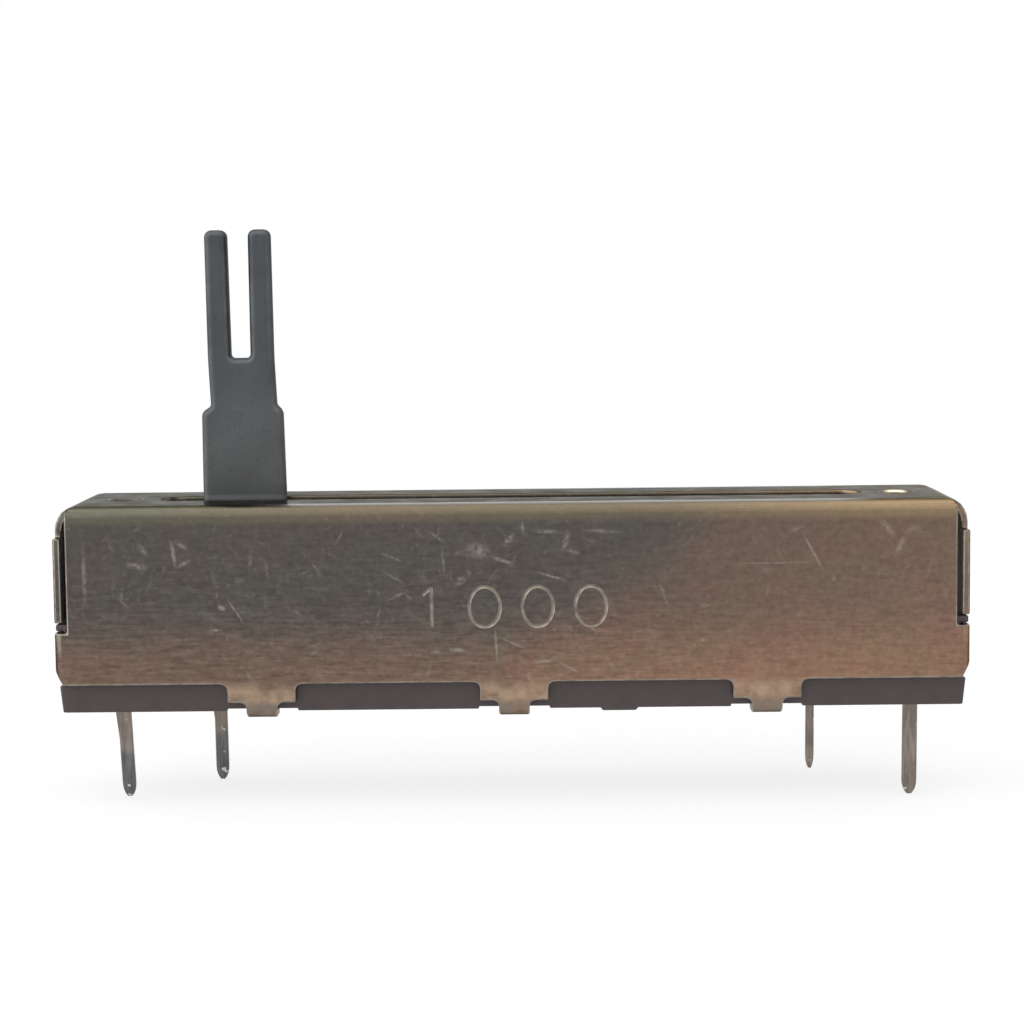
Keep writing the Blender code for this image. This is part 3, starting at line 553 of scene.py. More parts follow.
def placed_scuffs(tree):
    """The scuffs of the list above, from 0 to 1, each faded out towards its ends."""
    place = millimetres(tree)
    front = CASE_LOW.y / MILLIMETRE
    marks = 0.0
    for x, z, length, width, turn, strength in SCUFFS:
        inputs = {"Vector": place, "Location": (x, front, z), "Scale": (length / 2, 1, width / 2)}
        inputs["Rotation"] = (0, math.radians(turn), 0)
        inside = add_node(tree, "Mapping", inputs, vector_type="TEXTURE")
        faded = add_node(tree, "TexGradient", {"Vector": inside}, gradient_type="SPHERICAL")
        mark = add_node(tree, "Math", [faded, strength * 1.8], operation="MULTIPLY")
        marks = add_node(tree, "Math", [mark, marks], operation="MAXIMUM")
    return marks


def wear(tree):
    """Marks of handling, from 0 to 1: fine strokes and specks in loose clusters, and scuffs."""
    sheet = unrolled(tree)
    wander = add_node(tree, "TexNoise", {"Vector": sheet, "Scale": 0.45}).outputs["Color"]
    bent = add_node(tree, "VectorMath", [wander, sheet], operation="ADD")
    dense = patchy(tree, sheet, 0.3, 3.0, 0.38, 0.6, 0.15)
    marks = placed_scuffs(tree)
    for cell, length, width, strength in STROKES:
        layer = strokes(tree, bent, cell, length, width)
        layer = add_node(tree, "Math", [layer, strength], operation="MULTIPLY")
        layer = add_node(tree, "Math", [layer, dense], operation="MULTIPLY")
        marks = add_node(tree, "Math", [marks, layer], operation="MAXIMUM")
    broken = patchy(tree, sheet, 5.0, 3.0, 0.36, 0.56, 0.15)
    return add_node(tree, "Math", [marks, broken], operation="MULTIPLY", use_clamp=True)


def painted_warm_reflection(tree, place, x, z):
    """Painted warm reflection, from 0 to 1: towards the right and low on the wall, in soft patches.
    """
    cloud = add_node(tree, "TexNoise", {"Vector": place, "Scale": 0.16, "Detail": 3.0})
    along = add_node(tree, "Math", [cloud, 7.0, x], operation="MULTIPLY_ADD")
    along = add_node(tree, "Math", [z, -1.2, along], operation="MULTIPLY_ADD")
    inputs = [along, -3.0, 5.0, 0.0, 0.3]
    warm_patches = add_node(tree, "MapRange", inputs, interpolation_type="SMOOTHSTEP")
    right = add_node(tree, "MapRange", [along, 3.0, 17.0, 0.0, 0.25])
    right = add_node(tree, "Math", [right, warm_patches], operation="ADD")
    low = add_node(tree, "MapRange", [z, 5.6, 1.4, 0.0, 0.5], interpolation_type="SMOOTHSTEP")
    return add_node(tree, "Math", [right, low], operation="ADD", use_clamp=True)


def rolling_grain(tree):
    """Lines along X, from 0 to 1. Real ones are 0.02 mm apart, and these 0.12 and 0.3 mm."""
    grain = 0.0
    for stretch, weight in (((0.7, 4.0, 4.0), 0.4), ((1.3, 9.0, 9.0), 0.6)):
        lines = add_node(tree, "TexNoise", {"Vector": millimetres(tree, stretch), "Scale": 1.0})
        grain = add_node(tree, "Math", [lines, weight, grain], operation="MULTIPLY_ADD")
    return grain


def highlight_line_mask(tree, x, y, z):
    """1 along the thin line where the top starts to bend, short of the case's ends: a painted
    highlight.
    """
    top = CASE_HIGH.z / MILLIMETRE
    start = (CASE_HIGH.y - TOP_BEND) / MILLIMETRE
    out = add_node(tree, "Math", [y], operation="ABSOLUTE")
    across = band(tree, out, (start - 0.35, start - 0.2), (start + 0.2, start + 0.36))
    along = band(tree, x, (-13.0, -11.0), (16.0, 18.0))
    line = add_node(tree, "Math", [across, along], operation="MULTIPLY")
    above = add_node(tree, "MapRange", [z, top - 0.3, top - 0.2])
    return add_node(tree, "Math", [line, above], operation="MULTIPLY")


def bend_sheen_share(tree, z):
    """How much bend colour, stretched plating with a painted reflection from above, lies on the
    bends, fading out below them on the wall.
    """
    top = CASE_HIGH.z / MILLIMETRE
    bends = add_node(tree, "Math", [top_bends(tree), 0.46], operation="MULTIPLY")
    inputs = [z, top - 1.05, top - 0.6, 0.0, 0.36]
    below = add_node(tree, "MapRange", inputs, interpolation_type="SMOOTHSTEP")
    level = add_node(tree, "MapRange", [z, top - 0.1, top - 0.2])
    below = add_node(tree, "Math", [below, level], operation="MULTIPLY")
    return add_node(tree, "Math", [bends, below], operation="MAXIMUM")


def rolled_steel(settings):
    """Tin-plated steel sheet, cold rolled. The rolls leave a fine grain along X, a warm reflection
    is painted in towards the right and the foot, and handling has covered it with soft pale marks.
    The bends, the folded tabs and the line where the top starts to bend carry painted reflections
    and a painted highlight.
    """
    material, tree, shader = new_material("Plated steel, cold rolled", Metallic=1.0)
    place = millimetres(tree)
    x, y, z = add_node(tree, "SeparateXYZ", [place]).outputs
    # The plating's film, from olive to brown, in soft patches of a few millimetres
    patches = patchy(tree, place, 0.55, 6.0, 0.38, 0.62)
    film = layered(tree, "#F6F9F1", (patches, "#FDF6F3"))
    # The grain is clearest low on the wall, and fainter at the right
    grain = rolling_grain(tree)
    grained = add_node(tree, "MapRange", [grain, 0.3, 0.7, 0.7, 1.3])
    clear = add_node(tree, "MapRange", [z, 8.0, 4.0, 0.4])
    fainter = add_node(tree, "MapRange", [x, 2.0, 12.0, 1.0, 0.55])
    clear = add_node(tree, "Math", [clear, fainter], operation="MULTIPLY")
    # Fine mottle of the tin's crystals and of old fingerprints, drawn about 0.2 mm wide
    mottle = patchy(tree, place, 3.5, 3.0, 0.3, 0.7, 0.88, 1.12)
    marks = wear(tree)
    worn = add_node(tree, "Math", [marks, 0.75], operation="MULTIPLY")
    # The folded tabs under the wall carry a painted reflection of the floor, in patches, darker at
    # their tips
    tab_reflection_share = add_node(tree, "MapRange", [z, 1.6, 1.0])
    # The patches that the painted reflection of the floor falls in
    rubbed = patchy(tree, place, 1.1, 3.0, 0.3, 0.6)
    tab_reflection_share = add_node(tree, "Math", [tab_reflection_share, rubbed], operation="MULTIPLY")
    tips = add_node(tree, "MapRange", [z, 0.6, 0.3])
    painted_tab_reflection = layered(tree, "#A68F79", (tips, "#81776E"))
    # The bends carry stretched plating and a painted reflection from above: olive at the left, and
    # a warmer painted yellow at the right
    left = add_node(tree, "MapRange", [x, -8.0, -19.0])
    right = add_node(tree, "MapRange", [x, 8.0, 19.0])
    ends = (left, settings.bend_left), (right, settings.bend_right)
    bend_colour_and_sheen = layered(tree, settings.bend, *ends)
    line = highlight_line_mask(tree, x, y, z)
    colour = layered(
        tree,
        settings.steel,
        # A warm reflection, painted towards the right and low on the wall
        (painted_warm_reflection(tree, place, x, z), settings.warm_reflection_colour),
        (1.0, film, "MULTIPLY"),
        (clear, grained, "MULTIPLY"),
        (1.0, mottle, "MULTIPLY"),
        (worn, settings.worn),
        # The painted reflection of the floor on the folded tabs
        (tab_reflection_share, painted_tab_reflection),
        # Stretched plating with a painted reflection from above, on the bends
        (bend_sheen_share(tree, z), bend_colour_and_sheen),
        # The painted highlight where the top starts to bend
        (line, settings.line),
    )
    # Seen from low down the painted highlight line gleams too, its specular tint full, where the
    # dull film on the rest stays dark
    feed(shader, {"Specular Tint": layered(tree, (0.32, 0.32, 0.29), (line, (1, 1, 1)))})
    roughness = patchy(tree, place, 0.7, 3.0, 0.3, 0.7, 0.22, 0.32)
    height = add_node(tree, "Math", [grain, marks], operation="SUBTRACT")
    finish(shader, colour, roughness, height, 0.000001)
    return material


def rubbed_steel(settings):
    """The same sheet where punching, folding or striking has rubbed it bright. The right hole's rim
    carries a painted reflection too.
    """
    material, tree, shader = new_material("Plated steel, rubbed bright", Metallic=1.0)
    place = millimetres(tree)
    x, _, z = add_node(tree, "SeparateXYZ", [place]).outputs
    patches = add_node(tree, "TexNoise", {"Vector": place, "Scale": 2.5, "Detail": 3.0})
    share = add_node(tree, "MapRange", [patches, 0.3, 0.6])
    # A cream painted reflection lies on the middle of the right hole's rim, where its far inner
    # wall catches the light. The left hole has none
    on_top = add_node(tree, "MapRange", [z, 9.7, 9.8])
    off = add_node(tree, "Math", [x, HOLE_PLACE / MILLIMETRE], operation="SUBTRACT")
    off = add_node(tree, "Math", [off], operation="ABSOLUTE")
    right_hole_glint = add_node(tree, "MapRange", [off, 0.65, 0.25])
    rims = layered(tree, "#5F5A54", (right_hole_glint, "#F4E6C6"))
    colour = layered(tree, "#776C63", (share, settings.worn), (on_top, rims))
    roughness = add_node(tree, "MapRange", [patches, 0.3, 0.7, 0.45, 0.32])
    feed(shader, {"Base Color": colour, "Roughness": roughness})
    return material


def shade_lifting_steel(settings):
    """The same sheet's inner faces, painted pale and made dull: painted light that lifts the shade
    in the gaps beside the flaps.
    """
    material, tree, shader = new_material("Plated steel, inside, painted lighter", Metallic=1.0)
    fine = millimetres(tree, (0.5, 6.0, 6.0))
    lines = add_node(tree, "TexNoise", {"Vector": fine, "Scale": 1.0})
    share = add_node(tree, "MapRange", [lines, 0.3, 0.7])
    dark = [channel * 0.8 for channel in settings.lightened_inner]
    colour = layered(tree, settings.lightened_inner, (share, dark))
    roughness = add_node(tree, "MapRange", [lines, 0.0, 1.0, 0.6, 0.7])
    feed(shader, {"Base Color": colour, "Roughness": roughness})
    return material


def tumbled_steel(settings):
    """Plated steel, stamped and tumbled. Tumbling leaves it dull, with fine dark pits. A pale band
    runs round it just above the plate, and its rounded edges are paler: edge wear and a painted
    highlight.
    """
    material, tree, shader = new_material(
        "Plated steel, tumbled", Metallic=1.0, Specular_Tint=(0.5, 0.5, 0.5, 1)
    )
    place = millimetres(tree)
    height = add_node(tree, "SeparateXYZ", [place]).outputs[2]
    upper = add_node(tree, "MapRange", [height, 13.5, 18.0])
    cloud = add_node(tree, "TexNoise", {"Vector": place, "Scale": 0.5, "Detail": 4.0})
    shade = add_node(tree, "MapRange", [cloud, 0.3, 0.7, 0.88, 1.12])
    pits = patchy(tree, place, 6.0, 2.0, 0.58, 0.72, 0.0, 0.3)
    dark = [channel * 0.5 for channel in settings.steel]
    plate = CASE_HIGH.z / MILLIMETRE
    rubbed = plate + settings.pale_band_height / MILLIMETRE
    # A pale band round the blade just above the plate
    pale_band = band(tree, height, (plate - 0.08, plate + 0.05), (rubbed - 0.05, rubbed + 0.08))
    pale_band = add_node(tree, "Math", [pale_band, 0.24], operation="MULTIPLY")
    # The rounded edges are a little paler, in patches: edge wear, and a painted highlight
    edges = add_node(tree, "MapRange", [cloud, 0.4, 0.65, 0.0, 0.16])
    edges = add_node(tree, "Math", [edges, off_square(tree)], operation="MULTIPLY")
    worn = add_node(tree, "Math", [pale_band, edges], operation="MAXIMUM")
    colour = layered(
        tree,
        settings.steel,
        (upper, settings.prongs),
        (1.0, shade, "MULTIPLY"),
        (pits, dark),
        (worn, settings.worn),
    )
    roughness = add_node(tree, "MapRange", [cloud, 0.3, 0.7, 0.46, 0.56])
    skin = add_node(tree, "TexNoise", {"Vector": place, "Scale": 5.0, "Detail": 3.0})
    skin = add_node(tree, "Math", [skin, pits], operation="SUBTRACT")
    finish(shader, colour, roughness, skin, 0.000004)
    return material


def phenolic(settings):
    """Phenolic, compression moulded. Its wood-flour filler gives a faint mottle, and the mould
    a satin skin.
    """
    material, tree, shader = new_material("Phenolic, moulded", IOR=1.55)
    place = millimetres(tree)
    mottle = add_node(tree, "TexNoise", {"Vector": place, "Scale": 1.2, "Detail": 5.0})
    shade = add_node(tree, "MapRange", [mottle, 0.3, 0.7, 0.8, 1.2])
    colour = layered(tree, settings.resin, (1.0, shade, "MULTIPLY"))
    roughness = add_node(tree, "MapRange", [mottle, 0.3, 0.7, 0.42, 0.55])
    skin = add_node(tree, "TexNoise", {"Vector": place, "Scale": 9.0, "Detail": 3.0})
    finish(shader, colour, roughness, skin, 0.000003)
    return material


def tinned_brass(settings):
    """Brass, punched and hot tinned. The tin lies in a dull skin that runs smooth in small drops,
    most of all near the tips, where the drops carry painted glints.
    """
    material, tree, shader = new_material("Brass, tinned", Metallic=1.0)
    place = millimetres(tree)
    x, _, z = add_node(tree, "SeparateXYZ", [place]).outputs
    cloud = add_node(tree, "TexNoise", {"Vector": place, "Scale": 0.9, "Detail": 3.0})
    shade = add_node(tree, "MapRange", [cloud, 0.3, 0.7, 0.8, 1.15])
    # The dip that coated the left pins' tips left them darker and bluer
    edge = add_node(tree, "Math", [cloud, 1.2, z], operation="MULTIPLY_ADD")
    dipped = add_node(tree, "MapRange", [edge, -1.5, -1.9])
    left = add_node(tree, "MapRange", [x, 1.0, -1.0])
    dipped = add_node(tree, "Math", [dipped, left], operation="MULTIPLY")
    # Thin streaks run down the strip that the pins are punched from
    streaks = patchy(tree, millimetres(tree, (7.0, 7.0, 0.6)), 1.0, 2.0, 0.35, 0.65, 0.78, 1.22)
    drops = add_node(tree, "TexNoise", {"Vector": place, "Scale": 2.6, "Detail": 1.0})
    near_tip = add_node(tree, "MapRange", [z, -2.6, -4.4, 0.0, 0.07])
    drops = add_node(tree, "Math", [drops, near_tip], operation="ADD")
    # The smooth drops are less rough and carry a painted glint
    bright = add_node(tree, "MapRange", [drops, 0.72, 0.79])
    colour = layered(
        tree,
        settings.tin,
        (dipped, settings.dipped),
        (1.0, shade, "MULTIPLY"),
        (1.0, streaks, "MULTIPLY"),
        # Painted glints on the smooth drops
        (bright, settings.bright),
    )
    roughness = add_node(tree, "MapRange", [bright, 0.0, 1.0, 0.42, 0.24])
    skin = add_node(tree, "TexNoise", {"Vector": place, "Scale": 2.5, "Detail": 3.0})
    finish(shader, colour, roughness, skin, 0.00001)
    return material


def pressed_metal(name, base, worn, roughness, grain):
    """A small pressed part's metal, with its rolling grain and a little tarnish."""
    material, tree, shader = new_material(name, Metallic=1.0)
    tarnish = patchy(tree, millimetres(tree), 1.1, 4.0, 0.35, 0.65)
    colour = layered(tree, base, (tarnish, worn))
    rough = add_node(tree, "MapRange", [tarnish, 0.0, 1.0, roughness, roughness + 0.12])
    fine = millimetres(tree, (0.3, grain, grain))
    lines = add_node(tree, "TexNoise", {"Vector": fine, "Scale": 1.0})
    finish(shader, colour, rough, lines, 0.000002)
    return material


def moulded_or_printed(name, base, shade, scale, roughness, relief, ior=1.5):
    """A non-metal with a fine mottle of two shades, scale features to the millimetre."""
    material, tree, shader = new_material(name, IOR=ior)
    place = millimetres(tree)
    mottle = add_node(tree, "TexNoise", {"Vector": place, "Scale": scale, "Detail": 5.0})
    share = add_node(tree, "MapRange", [mottle, 0.35, 0.65])
    colour = layered(tree, base, (share, shade))
    rough = add_node(tree, "MapRange", [mottle, 0.3, 0.7, roughness, roughness + 0.12])
    finish(shader, colour, rough, mottle, relief)
    return material


def seen_directly(tree):
    """1 for rays from the camera, or from a gloss or a glass, and 0 for the light itself."""
    rays = add_node(tree, "LightPath").outputs
    inputs = [rays["Is Glossy Ray"], rays["Is Transmission Ray"]]
    mirrored = add_node(tree, "Math", inputs, operation="MAXIMUM")
    return add_node(tree, "Math", [rays["Is Camera Ray"], mirrored], operation="MAXIMUM")


def white_paper(name, settings, near_glow):
    """Matt white paper. What looks at it directly or in a gloss sees it evenly white, apart from
    the shadow near the object.
    """
    material, tree, shader = new_material(name, Roughness=0.9)
    fibre = add_node(tree, "TexNoise", {"Vector": millimetres(tree), "Scale": 0.05})
    grey = [channel * 0.97 for channel in settings.floor]
    paper = layered(tree, settings.floor, (fibre, grey))
    feed(shader, {"Base Color": paper})
    even = add_node(tree, "Emission", {"Color": rgba(settings.floor), "Strength": 1.0})
    centre = add_node(tree, "VectorMath", [millimetres(tree)], operation="LENGTH")
    glow = add_node(tree, "MapRange", [centre, 60.0, 260.0, near_glow, 1.0])
    share = add_node(tree, "Math", [seen_directly(tree), glow], operation="MULTIPLY")
    mixed = add_node(tree, "MixShader", [share, shader, even])
    feed(tree.nodes["Material Output"], {"Surface": mixed})
    return material


# Pieces


def stroke_tube(radius, place, closed_size=None, ends=None):
    """A round tube that strikes one line: an oval ring, or a straight line between two ends."""
    deselect()
    if closed_size:
        bpy.ops.curve.primitive_bezier_circle_add(radius=0.5, location=(0, 0, 0))
        tube = bpy.context.object
        with editing():
            bpy.ops.curve.select_all(action="SELECT")
            bpy.ops.transform.resize(value=(*closed_size, 1))
    else:
        bpy.ops.curve.primitive_bezier_curve_add(radius=1, location=(0, 0, 0))
        tube = bpy.context.object
        for point, end in zip(tube.data.splines[0].bezier_points, ends):
            point.handle_left_type = point.handle_right_type = "VECTOR"
            point.co = (end[0], end[1], 0)
    tube.data.dimensions = "3D"
    tube.data.bevel_depth = radius
    tube.data.bevel_resolution = 3
    tube.data.resolution_u = 10
    tube.data.use_fill_caps = True
    tube.rotation_euler.x = math.pi / 2
    tube.location = place
    pick(tube)
    bpy.ops.object.convert(target="MESH")
    bpy.ops.object.transform_apply()
    return bpy.context.object


def number_cutters(settings):
    """Tubes whose lower parts strike the plain number 1000 into the front wall."""
    half = settings.number_stroke / 2
    depth = settings.number_depth
    radius = (half**2 + depth**2) / (2 * depth)
    front = CASE_LOW.y - (radius - depth)
    up = settings.number_height / 2 - half
    across = settings.number_width - 2 * half
    pitch = settings.number_pitch
    one = Vector((-1.5 * pitch, front, settings.number_level))
    tubes = [
        stroke_tube(radius, one, ends=[(0.0, -up), (0.0, up)]),
        stroke_tube(radius, one, ends=[(-across * 0.3, up * 0.6), (0.0, up)]),
    ]
    for place in (1, 2, 3):
        nought = one + Vector((place * pitch, 0, 0))
        tubes.append(stroke_tube(radius, nought, closed_size=(across, 2 * up)))
    return tubes


def on_hole_rim(edge, ends, faces):
    on_top = all(abs(end.z - CASE_HIGH.z) < SAME_LEVEL for end in ends)
    return on_top and all(abs(end.x) > SLOT_END and abs(end.y) < HOLE_REACH for end in ends)


def keep_inside(piece, low, high):
    """Moves stray points that rounding has pushed past the solid's own box back onto it."""
    for vertex in piece.data.vertices:
        vertex.co = [min(max(c, a), b) for c, a, b in zip(vertex.co, low, high)]


def is_inner(face):
    """Whether a face of the case looks inwards, from the inner side of the sheet."""
    place = face.center
    near = (abs(c) < outer - INNER_DEPTH for c, outer in zip(place, CASE_HIGH))
    middle = Vector((0, 0, CASE_HIGH.z / 2))
    return all(near) and place.z > 0 and face.normal.dot(place - middle) < 0


def beside_slot(face):
    place = face.center
    on_top = place.z > CASE_HIGH.z - 2 * INNER_DEPTH
    return on_top and abs(place.x) < SLOT_END and abs(place.y) < SLOT_REACH


class POTENTIOMETER_OT_case(bpy.types.Operator):
    """Folded steel case: punched edges rounded, and a plain number struck in its front"""

    bl_idname = "potentiometer.case"
    bl_label = "Case"

    def execute(self, context):
        settings = context.scene.potentiometer_case
        case = merged_copy("frame", "steel_case")
        coat(case, rolled_steel(settings), rubbed_steel(settings))
        cut(case, number_cutters(settings))
        # The holes' upper rims are rounded like a shallow funnel
        pick_edges(case, on_hole_rim)
        bevel_picked(settings.hole_round, 3, material=1)
        round_edges(case, settings.edge_round, material=1)
        keep_inside(case, CASE_LOW, CASE_HIGH)
        # The inner faces take a paler, duller steel: painted light that lifts the shade in the gaps
        case.data.materials.append(shade_lifting_steel(settings))
        for face in case.data.polygons:
            if is_inner(face):
                face.material_index = 2
            elif beside_slot(face):
                face.material_index = 0
        smooth(case)
        settle(case, "housing", "rolled_steel", "frame")
        return {"FINISHED"}


class POTENTIOMETER_OT_base(bpy.types.Operator):
    """Moulded base: softened edges, and round ejector marks underneath"""

    bl_idname = "potentiometer.base"
    bl_label = "Base"

    def execute(self, context):
        settings = context.scene.potentiometer_base
        base = merged_copy("base", "moulded_base")
        resin = phenolic(settings)
        coat(base, resin, resin)  # the second for the marks, whose edges stay sharp
        marks = []
        for x in MARK_PLACES:
            deselect()
            bpy.ops.mesh.primitive_cylinder_add(
                vertices=40,
                radius=settings.mark_radius,
                depth=2 * settings.mark_depth,
                location=(x, 0, 0),
            )
            marks.append(bpy.context.object)
        cut(base, marks)
        round_edges(base, settings.edge_round, angle=40)
        smooth(base)
        settle(base, "housing", "moulded_phenolic", "base")
        return {"FINISHED"}


def lever_levels(settings):
    """The blade's levels, upwards: the height, half the width, half the gap, a shift in X, and
    how much its corners are rounded.
    """
    plate = CASE_HIGH.z
    tip = plate + settings.reach
    shoulder = plate + settings.shoulder_height
    neck = shoulder + settings.shoulder_slope
    foot = CARRIAGE_HIGH.z - settings.foot_depth
    full, top = settings.width / 2, settings.neck_width / 2
    narrow, gap = settings.fork_bottom / 2, settings.fork_top / 2
    return (
        (foot, full, narrow, 0, settings.end_corner),
        (plate, full, narrow, 0, 0),
        (shoulder, settings.shoulder_width / 2, narrow, 0, settings.inner_corner),
        (neck, top, narrow, settings.neck_shift, settings.neck_corner),
        (tip - settings.fork_depth, top, narrow, 0, settings.inner_corner),
        (tip, top, gap, 0, settings.end_corner),
    )


class POTENTIOMETER_OT_lever(bpy.types.Operator):
    """Forked lever: a stamped blade with its edges rolled over"""

    bl_idname = "potentiometer.lever"
    bl_label = "Lever"

    def execute(self, context):
        settings = context.scene.potentiometer_lever
        levels = lever_levels(settings)
        deselect()
        bpy.ops.mesh.primitive_grid_add(x_subdivisions=3, y_subdivisions=len(levels) - 1, size=1)
        lever = name_piece("forked_lever")
        points = sorted(lever.data.vertices, key=lambda point: (round(point.co.y, 3), point.co.x))
        across = settings.thickness / 2 - settings.soft_edge
        for row, (height, half, gap, shift, corner) in enumerate(levels):
            for column, x in enumerate((-half, -gap, gap, half)):
                points[4 * row + column].co = (x + shift, -across, height)
        # The gap between the prongs is left open
        gap_start, gap_side = levels[-2][0], settings.fork_bottom / 2
        edit_parts(
            lever, "FACE", lambda face: face.center.z > gap_start and abs(face.center.x) < gap_side
        )
        bpy.ops.mesh.delete(type="FACE")
        bpy.ops.mesh.select_all(action="SELECT")
        bpy.ops.mesh.dissolve_limited(angle_limit=math.radians(0.2))
        for height, half, gap, shift, corner in levels:
            if corner:
                edit_parts(lever, "VERT", lambda point: abs(point.co.z - height) < SAME_LEVEL)
                bpy.ops.mesh.bevel(offset=corner, segments=5, affect="VERTICES")
        bpy.ops.mesh.select_all(action="SELECT")
        bpy.ops.mesh.extrude_region_move(TRANSFORM_OT_translate={"value": (0, 2 * across, 0)})
        bpy.ops.mesh.select_all(action="SELECT")
        bpy.ops.mesh.normals_make_consistent(inside=False)
        roll_over(lever, settings.soft_edge, steps=6)
        pivot = (CARRIAGE_LOW + CARRIAGE_HIGH) / 2
        upright = Matrix.Translation((pivot.x, 0, 0))
        lean = Matrix.Rotation(-settings.lean, 4, "Y")
        turned = Matrix.Translation(pivot) @ lean @ Matrix.Translation(-pivot)
        lever.data.transform(turned @ upright)
        keep_inside(lever, LEVER_LOW, LEVER_HIGH)
        coat(lever, tumbled_steel(settings))
        smooth(lever, angle=50)
        settle(lever, "slider", "lever_steel", "lever")
        return {"FINISHED"}


class POTENTIOMETER_OT_pins(bpy.types.Operator):
    """Four flat solder pins, each with its foot on the element board"""

    bl_idname = "potentiometer.pins"
    bl_label = "Pins"

    def execute(self, context):
        settings = context.scene.potentiometer_pins
        tin = tinned_brass(settings)
        for node in TERMINALS:
            name = node.replace("terminal", "pin")
            softened_copy(node, name, tin, settings.edge_round, "housing", "tinned_brass")
        return {"FINISHED"}


class POTENTIOMETER_OT_carriage(bpy.types.Operator):
    """Carriage that holds the lever, with its moulded edges softened"""

    bl_idname = "potentiometer.carriage"
    bl_label = "Carriage"

    def execute(self, context):
        # Acetal, injection moulded: even and satin, a little waxy
        acetal = moulded_or_printed(
            "Acetal, moulded", "#2E2E30", "#353538", 1.5, roughness=0.36, relief=0.000002, ior=1.48
        )
        softened_copy("carriage", "slider_block", acetal, BLOCK_ROUND, "slider", "acetal")
        return {"FINISHED"}


class POTENTIOMETER_OT_contacts(bpy.types.Operator):
    """Finishes of the wiper, the feel spring and the eyelets"""

    bl_idname = "potentiometer.contacts"
    bl_label = "Contacts"

    def execute(self, context):
        finishes = {
            "wiper": pressed_metal("Phosphor bronze, rolled", "#BE9468", "#A77C52", 0.25, 9.0),
            "feel_spring": pressed_metal("Spring steel, rolled", "#A6A6A4", "#8B8A88", 0.22, 9.0),
        }
        brass = pressed_metal("Brass, drawn", "#B8A373", "#9C875B", 0.28, 5.0)
        finishes.update({name: brass for name in EYELETS})
        for node, material in finishes.items():
            coat(frame["nodes"][node], material)
        return {"FINISHED"}


class POTENTIOMETER_OT_element(bpy.types.Operator):
    """Finishes of the element board and what is printed on it"""

    bl_idname = "potentiometer.element"
    bl_label = "Element"

    def execute(self, context):
        # Paper laminate, pressed: brown paper fibres under a dull resin
        board = moulded_or_printed(
            "Paper laminate, pressed", "#8A6540", "#A27B50", 4.0, roughness=0.5, relief=0.000004
        )
        # Carbon ink, screen printed: almost black, with the mesh's faint grain
        carbon = moulded_or_printed(
            "Carbon ink, printed", "#1E1E1E", "#2B2B2B", 9.0, roughness=0.45, relief=0.000003
        )
        silver = pressed_metal("Silver ink, printed", "#B5B3AC", "#9D9A92", 0.4, 12.0)
        coat(frame["nodes"]["element_board"], board)
        coat(frame["nodes"]["resistive_track"], carbon)
        for node in ("end_pad_left", "end_pad_right", "collector_track"):
            coat(frame["nodes"][node], silver)
        return {"FINISHED"}


def area_lamp(name, place, size, power, colour):
    """A soft lamp, this wide and high, that looks at the middle of the case."""
    deselect()
    bpy.ops.object.light_add(type="AREA", location=place)
    lamp = bpy.context.object
    lamp.name = name
    lamp.data.shape = "RECTANGLE"
    lamp.data.size, lamp.data.size_y = size
    lamp.data.energy = power
    lamp.data.color = colour
    lamp.visible_camera = False
    aim = LAMP_AIM - Vector(place)
    lamp.rotation_euler = aim.to_track_quat("-Z", "Y").to_euler()


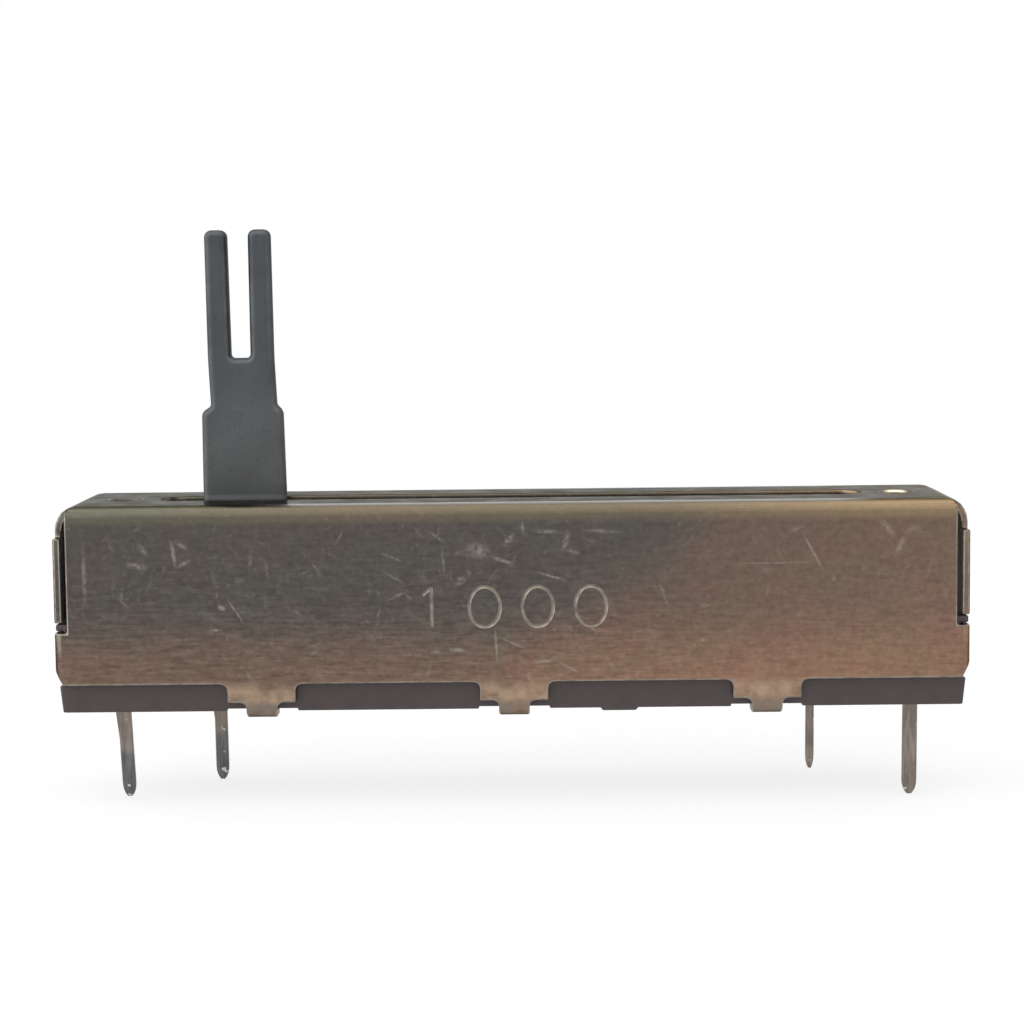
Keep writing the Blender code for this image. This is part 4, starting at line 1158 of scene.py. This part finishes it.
class POTENTIOMETER_OT_stage(bpy.types.Operator):
    """Floor, backdrop, lamps, world and camera"""

    bl_idname = "potentiometer.stage"
    bl_label = "Stage"

    def execute(self, context):
        settings = context.scene.potentiometer_stage
        size = settings.floor_size
        for name, back, turn, near_glow in (
            ("floor", 0, 0, 0.78),
            ("backdrop", size / 4, math.pi / 2, 1.0),
        ):
            deselect()
            bpy.ops.mesh.primitive_plane_add(
                size=size, location=(0, back, PIN_TIPS), rotation=(turn, 0, 0)
            )
            piece = name_piece(name)
            coat(piece, white_paper("White paper, " + name, settings, near_glow))
            bpy.ops.object.transform_apply()
        area_lamp("overhead_lamp", (0, -0.15, 0.5), (0.9, 0.9), settings.overhead, (1, 0.98, 0.95))
        area_lamp("side_lamp", (-0.3, -0.08, 0.12), (0.5, 0.4), settings.side, (0.93, 0.97, 1))
        world = bpy.data.worlds.new("Pale studio")
        world.use_nodes = True
        tree = world.node_tree
        level = add_node(tree, "MapRange", [seen_directly(tree), 0.0, 1.0, settings.world, 1.0])
        feed(tree.nodes["Background"], {"Color": (1, 1, 1, 1), "Strength": level})
        context.scene.world = world
        bpy.ops.object.camera_add()
        camera = bpy.context.object
        camera.name = "camera"
        camera.data.lens = CAMERA_LENS
        camera.data.sensor_width = SENSOR_WIDTH
        camera.data.clip_start = 0.01
        turn = Matrix.Rotation(CAMERA_YAW, 4, "Z") @ Matrix.Rotation(CAMERA_PITCH, 4, "X")
        turn = turn @ Matrix.Rotation(CAMERA_ROLL, 4, "Y")
        upright = Matrix.Rotation(math.pi / 2, 4, "X")
        camera.matrix_world = Matrix.Translation(CAMERA_PLACE) @ turn @ upright
        context.scene.camera = camera
        context.scene.view_settings.view_transform = "Standard"
        return {"FINISHED"}


class POTENTIOMETER_PT_panel(bpy.types.Panel):
    """Lists the pieces and the stage, each with its settings"""

    bl_idname = "POTENTIOMETER_PT_panel"
    bl_label = "Slide potentiometer"
    bl_space_type = "VIEW_3D"
    bl_region_type = "UI"
    bl_category = "Potentiometer"

    def draw(self, context):
        for operator in OPERATORS:
            box = self.layout.box()
            box.operator(operator.bl_idname)
            group = operator.bl_idname.replace(".", "_")
            settings = getattr(context.scene, group, None)
            if settings:
                for name in settings.__annotations__:
                    box.prop(settings, name)


SETTINGS = {
    "potentiometer_case": CaseSettings,
    "potentiometer_lever": LeverSettings,
    "potentiometer_base": BaseSettings,
    "potentiometer_pins": PinSettings,
    "potentiometer_stage": StageSettings,
}
OPERATORS = (
    POTENTIOMETER_OT_case,
    POTENTIOMETER_OT_base,
    POTENTIOMETER_OT_lever,
    POTENTIOMETER_OT_pins,
    POTENTIOMETER_OT_carriage,
    POTENTIOMETER_OT_contacts,
    POTENTIOMETER_OT_element,
    POTENTIOMETER_OT_stage,
)


def register():
    for group in SETTINGS.values():
        bpy.utils.register_class(group)
    for name, group in SETTINGS.items():
        setattr(bpy.types.Scene, name, bpy.props.PointerProperty(type=group))
    for kind in (*OPERATORS, POTENTIOMETER_PT_panel):
        bpy.utils.register_class(kind)


def unregister():
    for kind in (POTENTIOMETER_PT_panel, *reversed(OPERATORS)):
        bpy.utils.unregister_class(kind)
    for name, group in SETTINGS.items():
        delattr(bpy.types.Scene, name)
        bpy.utils.unregister_class(group)


def main():
    register()
    for operator in OPERATORS:
        group, name = operator.bl_idname.split(".")
        getattr(getattr(bpy.ops, group), name)()


if __name__ == "__main__":
    main()
